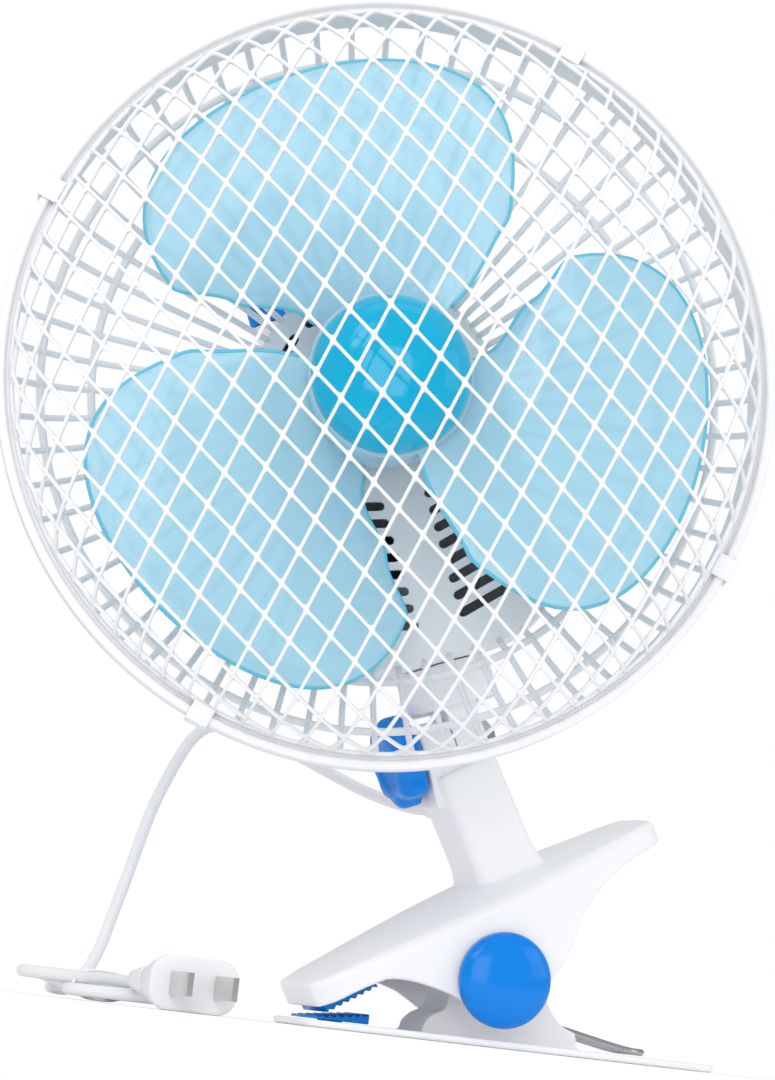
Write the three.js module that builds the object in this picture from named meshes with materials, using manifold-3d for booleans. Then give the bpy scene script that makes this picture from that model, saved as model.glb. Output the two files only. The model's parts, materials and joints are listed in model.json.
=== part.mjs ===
// Clip fan: a spring clip carries a leaning neck, a tilting and swinging head, and a guarded three-blade fan.
// Millimetres, +Z up, the clip's base plate stands on Z = 0. The jaws open towards -X, the fan blows about -Y.
import * as THREE from 'three';
import { mergeVertices } from 'three/addons/utils/BufferGeometryUtils.js';
import Module from 'manifold-3d';

const wasm = await Module();
wasm.setup();

// ---------------------------------------------------------------- driving dimensions
const DEG = Math.PI / 180;
const fit = 0.3; // clearance between pieces that touch or turn in each other

// clip
const plateNose = -64.5; // front end of the plate
const plateTail = 68.5;
const plateThick = 2.2;
const plateHalfWidth = 31;
const plateEndHalf = 17;
const plateNoseHalf = 19;
const leafCorner = 7; // corner radius of the plate and jaw ends
const jawHalfWidth = 29;
const jawEndHalf = 16;
const jawNoseHalf = 18;
const jawNose = 51.5; // pivot to nose, along the jaw
const jawHandle = 69; // pivot to handle end, along the jaw
const jawTop = 21.5; // pivot to the crease between jaw top and side
const jawCrown = 4.5; // rise of the jaw top above its creases
const jawWall = 2.3;
const jawSkirt = 7.3; // side wall height at nose and handle
const jawSlope = 30.8; // degrees, jaw against plate when closed
const pivotX = -9;
const pivotZ = 20;
const pinRadius = 2.5;
const lobeRadius = 12; // jaw side wall round the pivot
const towerHalf = 10.5; // half width of the plate's pivot tower
const towerWall = 2.2;
const towerTopRadius = 11;
const capRadius = 13.8;
const farCapRadius = 10.5; // the far cap hides behind the jaw's lobe
const capHeight = 6.6;
const capHole = 3.2; // depth of the pin's seat in a cap
const padLength = 17;
const upperPadLength = 17.5;
const padHalfWidth = 11;
const padTooth = 0.9;
const padPitch = 2.5;
const padStud = 3.7; // stud radius
const springWire = 1.05; // wire radius
const springCoil = 6.6; // mean coil radius
const springTurns = 2;
const springLowerReach = 42; // plate leg, from X = 0 to the middle of its loop
const springInner = 1.9; // handle legs' distance from the middle plane
const springOuter = 6.9; // plate legs' distance from the middle plane
const springLeg = 49; // handle legs

// neck and tilt joint
const neckAlong = 21.4; // neck axis, from the pivot along the jaw
const tiltHeight = 65.6; // tilt axis, from the pivot square to the jaw
const neckHalfX = 10;
const neckHalfY = 12.4;
const neckCorner = 3.2;
const neckBore = 4; // wire passage radius
const forkLean = 21.5; // degrees, tilt axis against the plate
const lugRadius = 9.4;
const tongueThick = 10.6;
const lugThick = 10.2;
const boltRadius = 3;
const boltHeadRadius = 5.5;
const boltHeadThick = 3.6;
const washerRadius = 7.5;
const washerThick = 1;
const knobRadius = 14;
const knobThick = 8.5;
const knobLobes = 8;

// head carrier
const restTilt = 7; // degrees, head tipped back in the rest pose
const restSwing = 13; // degrees, head swung towards the jaws in the rest pose
const postOffset = 5.5; // swing post, to the right of the neck's middle
const headReach = 62; // rim plane ahead of the swing post
const hubHeight = 105; // fan axis above the tilt axis
const postRadius = 7;
const postTop = 51; // above the tilt axis
const tableRadius = 14.5;
const tableGap = 2.4; // lug to turntable

// guard
const rimRadius = 113.7;
const rimFront = 6; // depth of the front guard's rim
const rimWall = 5.4;
const flangeThick = 3; // rear guard's flange behind the rim plane
const flangeReach = 1.8; // flange beyond the rear guard's band
const bandRadius = rimRadius - flangeReach;
const bandWall = 2;
const bandDepth = 13;
const netDepth = 38; // height of the front guard's dome
const domeSquare = 0.77; // below 1: fuller than an ellipse
const netSide = 18; // side of one diamond
const netAngle = 71; // included angle of a diamond
const netTurn = 82; // degrees, long diagonal of the diamonds
const strandWidth = 1.5;
const strandThick = 1.8;
const ribCount = 32;
const ribWidth = 1.7;
const ribThick = 2.2;
const ringWidth = 2.4;
const innerRing = 85;
const outerRing = 100.3;
const bowlDepth = 36; // rim plane to the back of the bowl
const clipWidth = 9;
const clipThick = 1.5;
const clipLip = 3;

// shield and motor cover
const shieldRadius = 37.5;
const shieldBottom = 80; // below the fan axis
const shieldHip = 38; // half width of the tail
const hipDrop = 58; // widest part of the tail, below the fan axis
const hipBend = 30; // where the shield's sides turn outwards, below the fan axis
const shieldThick = 2.2;
const shieldSkirt = 8; // edge of the shield, front to back
const slotCount = 8;
const slotPitch = 5.3;
const slotHeight = 2.8;
const slotStart = 31; // first slot row, below the fan axis
const slotMiddle = 6.2; // half width of the plain strip between the columns
const slotRise = 14; // degrees
const coverDepth = 50;
const coverWall = 2.2;
const backSlotCount = 5;
const backSlotPitch = 6;
const backSlotTop = 12; // first row, above the fan axis
const backSlotMiddle = 7; // start and end of a slot, from the middle
const backSlotEnd = 17;

// blades and drive
const bladeCount = 3;
const bladeRadius = 94;
const bladeHalfAngle = 48.5;
const bladeThick = 1.6;
const bladeDepth = 28; // axial depth of a blade
const bladeTurn = 91; // degrees, middle of the first blade
const hubRadius = 24.2;
const hubFront = 13.5; // hub front, ahead of the rim plane
const hubBack = 14;
const hubWall = 2;
const spinnerHeight = 15;
const shaftRadius = 3;
const shaftFront = 20; // ahead of the rim plane
const statorOuter = 27;
const rotorRadius = 14;
const airGap = 0.6;
const stackFront = 50;
const stackLength = 17;
const bushRadius = 8;
const bushLength = 6;
const windingReach = 4; // winding beyond the stack
const gearboxStandoff = 8; // stack to gearbox
const gearboxDepth = 11;
const gearboxLeft = 25;
const gearboxRight = 15;
const gearboxBelow = 13;
const gearboxAbove = 17;
const gearboxChamfer = 5;
const legX = 17; // gearbox legs, about the fan axis
const legZ = 15;
const clutchX = -19.5; // clutch shaft, left of the fan axis
const clutchRadius = 2.5;
const swingKnobRadius = 6;
const swingKnobHeight = 11;
const speedKnobRadius = 9;
const speedKnobHeight = 9;
const switchStem = 3.4; // radius
const switchZ = -42; // below the fan axis
const switchHalf = 9; // half width of the switch body
const switchDepth = 13;
const switchRise = 8; // half height

// cord
const cordRadius = 1.8;
const hankLength = 84;
const hankWidth = 34;
const hankWaist = 9.5; // half width under the tie
const hankHeight = 8;
const tieThick = 0.8;
const tieWidth = 2.4;
const plugLength = 54;
const plugHalfWidth = 11;
const plugHalfThick = 7.5;
const pinSpacing = 12.7;
const pinLength = 16;

// ---------------------------------------------------------------- materials
const plastic = (color, roughness = 0.45) => new THREE.MeshStandardMaterial({ color, roughness, metalness: 0 });
const metal = (color, roughness = 0.35) => new THREE.MeshStandardMaterial({ color, roughness, metalness: 1 });
const white = plastic(0xf1f3f6);
const blue = plastic(0x0a7ad8, 0.3);
const turquoise = plastic(0x12acd8, 0.15);
const bladeBlue = new THREE.MeshStandardMaterial({ color: 0xa3dcf0, roughness: 0.2, transparent: true, opacity: 0.6 });
const steel = metal(0xb8bcc0);
const copper = metal(0xb87333, 0.5);
const bronze = metal(0xa07a45, 0.5);
const dark = plastic(0x33363b, 0.6);
const cordGrey = plastic(0xdcdfe2, 0.6);

// ---------------------------------------------------------------- solids
function solid(shape) {
  if (shape instanceof wasm.Manifold) return shape;
  const bare = shape.clone();
  bare.deleteAttribute('normal');
  bare.deleteAttribute('uv');
  const merged = mergeVertices(bare, 1e-4);
  const place = merged.attributes.position;
  const corners = merged.index.array;
  const kept = [];
  const a = new THREE.Vector3();
  const b = new THREE.Vector3();
  const c = new THREE.Vector3();
  let volume = 0;
  for (let i = 0; i < corners.length; i += 3) {
    const [p, q, r] = [corners[i], corners[i + 1], corners[i + 2]];
    if (p === q || q === r || r === p) continue;
    kept.push(p, q, r);
    a.fromBufferAttribute(place, p);
    b.fromBufferAttribute(place, q);
    c.fromBufferAttribute(place, r);
    volume += a.dot(b.cross(c));
  }
  if (volume < 0) kept.reverse();
  const mesh = new wasm.Mesh({
    numProp: 3,
    vertProperties: Float32Array.from(place.array),
    triVerts: Uint32Array.from(kept),
  });
  return new wasm.Manifold(mesh);
}

const join = (first, ...rest) => rest.reduce((whole, piece) => whole.add(solid(piece)), solid(first));
const cut = (first, ...rest) => rest.reduce((whole, piece) => whole.subtract(solid(piece)), solid(first));
const common = (first, second) => solid(first).intersect(solid(second));

function addPiece(parent, name, shape, material) {
  const raw = solid(shape).getMesh();
  const geometry = new THREE.BufferGeometry();
  geometry.setAttribute('position', new THREE.BufferAttribute(Float32Array.from(raw.vertProperties), 3));
  geometry.setIndex(new THREE.BufferAttribute(Uint32Array.from(raw.triVerts), 1));
  geometry.computeVertexNormals();
  const mesh = new THREE.Mesh(geometry, material);
  mesh.name = name;
  parent.add(mesh);
  return mesh;
}

// closed body from a list of triangle corners
function fromTriangles(points) {
  return new THREE.BufferGeometry().setFromPoints(points);
}

const quad = (list, a, b, c, d) => list.push(a, b, c, a, c, d);

// closed body through equal rings of points, its end rings closed from their middles
function loft(rings) {
  const list = [];
  const count = rings[0].length;
  for (let i = 0; i + 1 < rings.length; i += 1) {
    for (let j = 0; j < count; j += 1) {
      const k = (j + 1) % count;
      quad(list, rings[i][j], rings[i][k], rings[i + 1][k], rings[i + 1][j]);
    }
  }
  const closeEnd = (ring, forward) => {
    const middle = ring.reduce((sum, p) => sum.add(p), new THREE.Vector3()).divideScalar(count);
    for (let j = 0; j < count; j += 1) {
      const k = (j + 1) % count;
      if (forward) list.push(middle, ring[j], ring[k]);
      else list.push(middle, ring[k], ring[j]);
    }
  };
  closeEnd(rings[0], false);
  closeEnd(rings[rings.length - 1], true);
  return fromTriangles(list);
}

// revolved about Y: pairs of radius and Y, starting and ending on the axis or closed on themselves
function lathe(profile, segments = 32, closed = true) {
  const points = profile.map(([r, y]) => new THREE.Vector2(r, y));
  if (closed) points.push(points[0].clone());
  return new THREE.LatheGeometry(points, segments);
}

const ringProfile = (inner, outer, from, to) => [[inner, from], [outer, from], [outer, to], [inner, to]];

// rod along Y, or along X or Z when named
function rod(radius, from, to, axis = 'y', segments = 14) {
  const geometry = new THREE.CylinderGeometry(radius, radius, to - from, segments);
  geometry.translate(0, (from + to) / 2, 0);
  if (axis === 'x') geometry.rotateZ(-Math.PI / 2);
  if (axis === 'z') geometry.rotateX(Math.PI / 2);
  return geometry;
}

const block = (x0, x1, y0, y1, z0, z1) => new THREE.BoxGeometry(x1 - x0, y1 - y0, z1 - z0)
  .translate((x0 + x1) / 2, (y0 + y1) / 2, (z0 + z1) / 2);

// outline drawn in X and Z, extruded along Y
function slab(outline, fromY, toY, curveSegments = 12) {
  const geometry = new THREE.ExtrudeGeometry(outline, { depth: toY - fromY, bevelEnabled: false, curveSegments });
  return geometry.rotateX(Math.PI / 2).translate(0, toY, 0);
}

function capsule(x0, z0, x1, z1, halfHeight) {
  const angle = Math.atan2(z1 - z0, x1 - x0);
  const side = (angle + Math.PI / 2);
  const outline = new THREE.Shape();
  outline.absarc(x0, z0, halfHeight, side, side + Math.PI, false);
  outline.absarc(x1, z1, halfHeight, side + Math.PI, side + 2 * Math.PI, false);
  return outline;
}

// rounded rectangle of points at height z
function roundedRing(halfX, halfY, corner, z, centreX = 0, perCorner = 4) {
  const points = [];
  for (let i = 0; i < 4; i += 1) {
    const sx = i === 0 || i === 3 ? 1 : -1;
    const sy = i < 2 ? 1 : -1;
    for (let j = 0; j <= perCorner; j += 1) {
      const angle = (i + j / perCorner) * Math.PI / 2;
      const x = sx * (halfX - corner) + corner * Math.cos(angle);
      const y = sy * (halfY - corner) + corner * Math.sin(angle);
      points.push(new THREE.Vector3(centreX + x, y, z));
    }
  }
  return points;
}

// net of bars on a quad grid: corner(i, j, si, sj) gives a bar crossing's outer and inner corner point
function lattice(nodes, corner, next) {
  const list = [];
  const signs = [[-1, -1], [1, -1], [1, 1], [-1, 1]];
  const made = new Map();
  const key = (i, j) => `${i},${j}`;
  for (const [i, j] of nodes) made.set(key(i, j), signs.map(([si, sj]) => corner(i, j, si, sj)));
  const wall = (p, q) => quad(list, q.outer, p.outer, p.inner, q.inner);
  const bar = (p, q, r, s) => {
    quad(list, p.outer, q.outer, r.outer, s.outer);
    quad(list, s.inner, r.inner, q.inner, p.inner);
    wall(p, q);
    wall(r, s);
  };
  for (const [i, j] of nodes) {
    const a = made.get(key(i, j));
    quad(list, a[0].outer, a[1].outer, a[2].outer, a[3].outer);
    quad(list, a[3].inner, a[2].inner, a[1].inner, a[0].inner);
    const across = next(i, j, 1, 0);
    const along = next(i, j, 0, 1);
    const b = across && made.get(key(...across));
    const c = along && made.get(key(...along));
    if (b) bar(a[1], b[0], b[3], a[2]);
    else wall(a[1], a[2]);
    if (c) bar(a[2], c[1], c[0], a[3]);
    else wall(a[2], a[3]);
    const before = next(i, j, -1, 0);
    const below = next(i, j, 0, -1);
    if (!(before && made.has(key(...before)))) wall(a[3], a[0]);
    if (!(below && made.has(key(...below)))) wall(a[0], a[1]);
  }
  return fromTriangles(list);
}

// thin curved sheet of even thickness along Y: point(i, j) for i in 0..rows and j in 0..columns
function sheet(rows, columns, point, thickness) {
  const list = [];
  const shift = new THREE.Vector3(0, thickness / 2, 0);
  const top = (i, j) => point(i, j).sub(shift);
  const bottom = (i, j) => point(i, j).add(shift);
  for (let i = 0; i < rows; i += 1) {
    for (let j = 0; j < columns; j += 1) {
      quad(list, top(i, j), top(i + 1, j), top(i + 1, j + 1), top(i, j + 1));
      quad(list, bottom(i, j + 1), bottom(i + 1, j + 1), bottom(i + 1, j), bottom(i, j));
    }
  }
  for (let i = 0; i < rows; i += 1) {
    quad(list, top(i + 1, 0), top(i, 0), bottom(i, 0), bottom(i + 1, 0));
    quad(list, top(i, columns), top(i + 1, columns), bottom(i + 1, columns), bottom(i, columns));
  }
  for (let j = 0; j < columns; j += 1) {
    quad(list, top(0, j), top(0, j + 1), bottom(0, j + 1), bottom(0, j));
    quad(list, top(rows, j + 1), top(rows, j), bottom(rows, j), bottom(rows, j + 1));
  }
  return fromTriangles(list);
}

// wire or cord of round section along a smooth curve
function wire(points, radius, sides, steps) {
  const section = new THREE.Shape();
  for (let i = 0; i < sides; i += 1) {
    const angle = (i / sides) * 2 * Math.PI;
    if (i === 0) section.moveTo(radius, 0);
    else section.lineTo(radius * Math.cos(angle), radius * Math.sin(angle));
  }
  const extrudePath = new THREE.CatmullRomCurve3(points, false, 'centripetal');
  return new THREE.ExtrudeGeometry(section, { steps, bevelEnabled: false, extrudePath });
}

// ---------------------------------------------------------------- groups: the tree of moving bodies
const fan = new THREE.Group();
const jaw = new THREE.Group(); // X along the jaw, Z square to it, origin on the clip's pivot
jaw.position.set(pivotX, 0, pivotZ);
jaw.rotation.y = -jawSlope * DEG;
fan.add(jaw);
const fork = new THREE.Group(); // X along the tilt axis
fork.position.set(neckAlong, 0, tiltHeight);
fork.rotation.y = (jawSlope - forkLean) * DEG;
jaw.add(fork);
const tilt = new THREE.Group(); // Z along the swing axis
tilt.rotation.x = -restTilt * DEG;
fork.add(tilt);
const swing = new THREE.Group();
swing.position.set(postOffset, 0, 0);
swing.rotation.z = -restSwing * DEG;
tilt.add(swing);
const head = new THREE.Group(); // origin in the middle of the rim plane, Y towards the back
head.position.set(0, -headReach, hubHeight);
swing.add(head);

// ---------------------------------------------------------------- clip
// leaf outline in X and Y: blunt nose, widest at the middle, blunt tail
function leaf(noseX, middleX, tailX, noseHalf, middleHalf, tailHalf, corner) {
  const outline = new THREE.Shape();
  const third = (tailX - noseX) / 4;
  outline.moveTo(noseX, 0);
  outline.lineTo(noseX, -noseHalf + corner);
  outline.quadraticCurveTo(noseX, -noseHalf, noseX + corner, -noseHalf - corner / 4);
  outline.quadraticCurveTo(middleX - third, -middleHalf, middleX, -middleHalf);
  outline.quadraticCurveTo(middleX + third, -middleHalf, tailX - corner, -tailHalf);
  outline.quadraticCurveTo(tailX, -tailHalf, tailX, -tailHalf + corner);
  outline.lineTo(tailX, tailHalf - corner);
  outline.quadraticCurveTo(tailX, tailHalf, tailX - corner, tailHalf);
  outline.quadraticCurveTo(middleX + third, middleHalf, middleX, middleHalf);
  outline.quadraticCurveTo(middleX - third, middleHalf, noseX + corner, noseHalf + corner / 4);
  outline.quadraticCurveTo(noseX, noseHalf, noseX, noseHalf - corner);
  outline.closePath();
  return outline;
}

const padX = plateNose + 4.5; // front end of the lower pad
const padMiddle = padX + padLength / 2;

// side view of the tower that carries the pin, grown or shrunk by an inset
function towerOutline(inset, top) {
  const outline = new THREE.Shape();
  outline.moveTo(pivotX - 17 + inset, top);
  outline.quadraticCurveTo(pivotX - 17 + inset, 7, pivotX - 11.5 + inset, 9);
  outline.quadraticCurveTo(pivotX - 8 + inset, 11, pivotX - towerTopRadius + inset, pivotZ);
  outline.absarc(pivotX, pivotZ, towerTopRadius - inset, Math.PI, 0.1 * Math.PI, true);
  outline.lineTo(pivotX + 21.5, 16.5);
  outline.quadraticCurveTo(pivotX + 25.5, 8.2, pivotX + 32.2, 7.2);
  outline.lineTo(pivotX + 33.5, top);
  outline.closePath();
  return outline;
}

function lowerJaw() {
  const planform = leaf(plateNose, 0, plateTail, plateNoseHalf, plateHalfWidth, plateEndHalf, leafCorner);
  const plate = new THREE.ExtrudeGeometry(planform, { depth: plateThick, bevelEnabled: false, curveSegments: 8 });
  const tower = slab(towerOutline(0, plateThick - 0.5), -towerHalf, towerHalf, 8);
  const inside = towerHalf - towerWall;
  const hollow = slab(towerOutline(towerWall, plateThick), -inside, inside, 8);
  const openBack = block(pivotX - 2, plateTail, -inside, inside, plateThick, 40);
  const openTop = block(pivotX - 20, pivotX + 20, -inside, inside, pivotZ - 2, 40);
  const pinHole = rod(pinRadius + fit, -40, 40).translate(pivotX, 0, pivotZ);
  const studHole = rod(padStud + fit, -1, plateThick + 1, 'z').translate(padMiddle, 0, 0);
  return cut(join(plate, tower), hollow, openBack, openTop, pinHole, studHole);
}

// serrated pad: length along X from 0, teeth up, height rising from front to back
function padOutline(length, frontHeight, backHeight) {
  const padTeeth = Math.round(length / padPitch);
  const outline = new THREE.Shape();
  outline.moveTo(0, 0);
  outline.lineTo(0, frontHeight);
  const step = length / padTeeth;
  for (let i = 0; i < padTeeth; i += 1) {
    const rise = frontHeight + (backHeight - frontHeight) * (i + 1) / padTeeth;
    outline.lineTo(step * (i + 0.5), rise - padTooth);
    outline.lineTo(step * (i + 1), rise);
  }
  outline.lineTo(length, 0);
  outline.closePath();
  return outline;
}

function lowerPad() {
  const wedge = slab(padOutline(padLength, 0.9, 3), -padHalfWidth, padHalfWidth);
  wedge.translate(padX, 0, plateThick + fit);
  const stud = rod(padStud, 0.2, plateThick + 1, 'z').translate(padMiddle, 0, 0);
  return join(wedge, stud);
}

const jawHalfAt = (share, nose, middle, tail) => { // half width along the jaw, share 0 at the nose
  const peak = 0.47;
  const end = share < peak ? nose : tail;
  const away = Math.abs(share - peak) / (share < peak ? peak : 1 - peak);
  return middle - (middle - end) * away ** 1.6;
};

// cross sections of the jaw: flat sides and a crowned top, walls running down past the skirt
function jawBody(inset) {
  const rings = [];
  const sections = 11;
  const arch = 4;
  const floor = -lobeRadius - 8;
  for (let i = 0; i <= sections; i += 1) {
    const share = i / sections;
    const along = -jawNose + inset + (jawNose + jawHandle - 2 * inset) * share;
    const round = Math.min(1, Math.min(share, 1 - share) * sections / 1.2);
    const ends = 0.72 + 0.28 * Math.sqrt(round);
    const half = jawHalfAt(share, jawNoseHalf, jawHalfWidth, jawEndHalf) * ends - inset;
    const crown = jawCrown * Math.sin(Math.PI * Math.min(1, Math.max(0, share)));
    const ring = [new THREE.Vector3(along, -half, floor)];
    for (let j = 0; j <= arch; j += 1) {
      const v = -1 + (2 * j) / arch;
      ring.push(new THREE.Vector3(along, v * half, jawTop - inset + crown * (1 - v * v)));
    }
    ring.push(new THREE.Vector3(along, half, floor));
    rings.push(ring);
  }
  return loft(rings);
}

// side view of the jaw's walls, in jaw coordinates
function jawSide() {
  const outline = new THREE.Shape();
  const skirt = jawTop - jawSkirt;
  outline.moveTo(-jawNose - 6, jawTop + 20);
  outline.lineTo(-jawNose - 6, skirt);
  outline.lineTo(-jawNose + 4.5, skirt - 0.3);
  outline.quadraticCurveTo(-38, skirt + 0.6, -31, skirt);
  outline.quadraticCurveTo(-24, skirt - 2.5, -14.5, 1);
  outline.quadraticCurveTo(-11.5, -4, -lobeRadius * 0.8, -lobeRadius * 0.6);
  outline.absarc(0, 0, lobeRadius, -143 * DEG, -40 * DEG, false);
  outline.quadraticCurveTo(20, -6, 27.5, 2.4);
  outline.quadraticCurveTo(37, 12, 55, skirt);
  outline.lineTo(jawHandle + 6, skirt + 0.5);
  outline.lineTo(jawHandle + 6, jawTop + 20);
  outline.closePath();
  return outline;
}

// neck column, round-cornered, flaring at its foot
function neckColumn() {
  const foot = jawTop + 1;
  const shoulder = tiltHeight - lugRadius - 0.4;
  const rings = [
    roundedRing(neckHalfX + 2, neckHalfY + 1.8, neckCorner + 1, foot, neckAlong),
    roundedRing(neckHalfX + 0.5, neckHalfY + 0.5, neckCorner + 0.3, foot + 5.5, neckAlong),
    roundedRing(neckHalfX, neckHalfY, neckCorner, foot + 9, neckAlong),
    roundedRing(neckHalfX, neckHalfY, neckCorner, shoulder - 5, neckAlong),
    roundedRing(neckHalfX + 0.2, neckHalfY - 1, neckCorner, shoulder, neckAlong),
  ];
  return loft(rings);
}

// moves a shape from the tilt joint's frame into the jaw's frame
function fromFork(geometry) {
  return geometry.rotateY((jawSlope - forkLean) * DEG).translate(neckAlong, 0, tiltHeight);
}

const glandAlong = 46; // cord gland, from the pivot square to the jaw
const glandRadius = 3.6;
const padUpperX = -jawNose + jawWall + 2.4 * fit;

function upperJaw() {
  const shell = common(cut(jawBody(0), jawBody(jawWall)), slab(jawSide(), -40, 40, 10));
  const insideFace = jawHalfWidth - 1;
  const nearBoss = rod(5.2, -insideFace, -towerHalf - fit);
  const farBoss = rod(5.2, towerHalf + fit, insideFace);
  const tongue = join(rod(lugRadius, -tongueThick, 0, 'x', 32), block(-tongueThick, 0, -lugRadius, lugRadius, -16, 0));
  const placed = solid(fromFork(toGeometry(tongue)));
  const lugRoom = fromFork(rod(lugRadius + 0.4, 0, lugThick + 6, 'x', 32));
  const pinHole = rod(pinRadius + fit, -40, 40);
  const boltHole = fromFork(rod(boltRadius + fit, -tongueThick - 5, 5, 'x'));
  const wireBore = rod(neckBore, jawTop - 6, glandAlong + 6, 'z').translate(neckAlong, 0, 0);
  const glandHole = rod(glandRadius + fit, 0, neckHalfY + 10).translate(neckAlong, 0, glandAlong);
  const studHole = rod(padStud + fit, 0, jawTop + 2 * jawCrown, 'z').translate(padUpperX + upperPadLength / 2, 0, 0);
  const body = join(shell, neckColumn(), nearBoss, farBoss, placed);
  return cut(body, pinHole, lugRoom, boltHole, wireBore, glandHole, studHole);
}

function toGeometry(piece) {
  const raw = piece.getMesh();
  const geometry = new THREE.BufferGeometry();
  geometry.setAttribute('position', new THREE.BufferAttribute(Float32Array.from(raw.vertProperties), 3));
  geometry.setIndex(new THREE.BufferAttribute(Uint32Array.from(raw.triVerts), 1));
  return geometry;
}

// pad under the jaw's nose, teeth down; its stud sits in the jaw's top
function upperPad() {
  const under = jawTop - jawWall - fit;
  const wedge = slab(padOutline(upperPadLength, 8, 7.6), -padHalfWidth, padHalfWidth);
  wedge.rotateX(Math.PI).translate(padUpperX, 0, under);
  const stud = rod(padStud, under - 2, jawTop + 1, 'z').translate(padUpperX + upperPadLength / 2, 0, 0);
  return join(wedge, stud);
}

function pivotCap(side) {
  const seat = jawHalfWidth + fit;
  const radius = side > 0 ? farCapRadius : capRadius;
  const profile = [[0, capHole], [pinRadius + fit, capHole], [pinRadius + fit, 0], [radius, 0], [radius, 1.4]];
  const steps = 4;
  for (let i = 1; i <= steps; i += 1) {
    const angle = (i / steps) * 90 * DEG;
    profile.push([radius * Math.cos(angle), 1.4 + (capHeight - 1.4) * Math.sin(angle)]);
  }
  profile[profile.length - 1][0] = 0;
  const dome = lathe(profile, 28).translate(0, seat, 0);
  return side > 0 ? dome : dome.rotateX(Math.PI);
}

// double torsion spring: two coils round the pin, handle legs inside, plate legs joined by a loop outside
function clipSpring() {
  const lowerAngle = -10 * DEG;
  const upperAngle = 47 * DEG;
  const start = upperAngle + Math.PI / 2;
  const sweep = 1.5 * Math.PI + lowerAngle - start + springTurns * 2 * Math.PI;
  const half = [];
  const upper = new THREE.Vector3(Math.cos(start), 0, Math.sin(start)).multiplyScalar(springCoil);
  for (const share of [1, 0.66, 0.33]) {
    const x = upper.x + Math.cos(upperAngle) * springLeg * share;
    const z = upper.z + Math.sin(upperAngle) * springLeg * share;
    half.push(new THREE.Vector3(pivotX + x, springInner, pivotZ + z));
  }
  const steps = 10 * springTurns + 4;
  for (let i = 0; i <= steps; i += 1) {
    const angle = start + sweep * (i / steps);
    const y = springInner + (springOuter - springInner) * (i / steps);
    half.push(new THREE.Vector3(pivotX + springCoil * Math.cos(angle), y, pivotZ + springCoil * Math.sin(angle)));
  }
  const end = half[half.length - 1];
  const low = plateThick + fit + springWire + 0.1;
  const drop = (x) => end.z + (low - end.z) * (x - end.x) / (springLowerReach - end.x);
  for (const x of [end.x + 14, end.x + 30, springLowerReach - 4]) half.push(new THREE.Vector3(x, springOuter, drop(x)));
  const loop = [];
  for (let i = 1; i < 6; i += 1) {
    const angle = 90 * DEG - i * 30 * DEG;
    loop.push(new THREE.Vector3(springLowerReach + springOuter * Math.cos(angle), springOuter * Math.sin(angle), low));
  }
  const other = half.map((p) => new THREE.Vector3(p.x, -p.y, p.z)).reverse();
  return wire([...half, ...loop, ...other], springWire, 5, 96);
}

addPiece(fan, 'lower_jaw', lowerJaw(), white);
addPiece(fan, 'lower_pad', lowerPad(), blue);
addPiece(fan, 'clip_spring', clipSpring(), steel);
addPiece(jaw, 'upper_jaw', upperJaw(), white);
addPiece(jaw, 'upper_pad', upperPad(), blue);
addPiece(jaw, 'pivot_pin', rod(pinRadius, -jawHalfWidth - capHole + 0.2, jawHalfWidth + capHole - 0.2), steel);
addPiece(jaw, 'pivot_cap_near', pivotCap(-1), blue);
addPiece(jaw, 'pivot_cap_far', pivotCap(1), blue);

// ---------------------------------------------------------------- tilt joint
const knobFace = -tongueThick - fit - washerThick - fit;

function tiltKnob() {
  const outline = new THREE.Shape();
  const steps = knobLobes * 4;
  for (let i = 0; i < steps; i += 1) {
    const angle = (i / steps) * 2 * Math.PI;
    const radius = knobRadius - 0.9 + 0.9 * Math.cos(knobLobes * angle);
    if (i === 0) outline.moveTo(radius, 0);
    else outline.lineTo(radius * Math.cos(angle), radius * Math.sin(angle));
  }
  const body = new THREE.ExtrudeGeometry(outline, { depth: knobThick, bevelEnabled: false }).rotateY(-Math.PI / 2);
  const profile = [[0, -1], [knobRadius - 1.5, -1], [knobRadius + 0.2, 2], [knobRadius + 0.2, knobThick - 3]];
  profile.push([knobRadius - 3, knobThick + 0.6], [0, knobThick + 0.6]);
  const envelope = lathe(profile, 28).rotateZ(Math.PI / 2);
  const seat = rod(boltRadius + fit, -1, knobThick - 3, 'x').rotateY(Math.PI);
  return toGeometry(cut(common(body, envelope), seat)).translate(knobFace, 0, 0);
}

const boltEnd = knobFace - knobThick + 3.5;

function tiltBolt() {
  const shank = rod(boltRadius, boltEnd, lugThick + 2 * fit + 0.1, 'x');
  const top = rod(boltHeadRadius, lugThick + 2 * fit, lugThick + 2 * fit + boltHeadThick, 'x', 6);
  return join(shank, top);
}

addPiece(fork, 'tilt_knob', tiltKnob(), blue);
addPiece(fork, 'tilt_bolt', tiltBolt(), steel);
const washerBack = -tongueThick - fit;
const washer = lathe(ringProfile(boltRadius + fit, washerRadius, washerBack - washerThick, washerBack), 24);
addPiece(fork, 'tilt_washer', washer.rotateZ(-Math.PI / 2), steel);

// lug on the tilt axis, turntable and hollow post for the swing
const tableTop = hubHeight - shieldBottom - fit;
const tableFoot = lugRadius + tableGap;

function swivelBracket() {
  const lug = rod(lugRadius, fit, lugThick, 'x', 32);
  const web = block(fit, lugThick, -lugRadius + 1.5, lugRadius - 1.5, 0, tableFoot + 1);
  const table = rod(tableRadius, tableFoot, tableTop, 'z', 36).translate(postOffset, 0, 0);
  const post = rod(postRadius, tableTop - 1, postTop, 'z', 28).translate(postOffset, 0, 0);
  const boltHole = rod(boltRadius + fit, -1, lugThick + 1, 'x');
  const wireHole = rod(neckBore - 0.5, lugRadius + 1, postTop + 5, 'z').translate(postOffset, 0, 0);
  return cut(join(lug, web, table, post), boltHole, wireHole);
}

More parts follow.
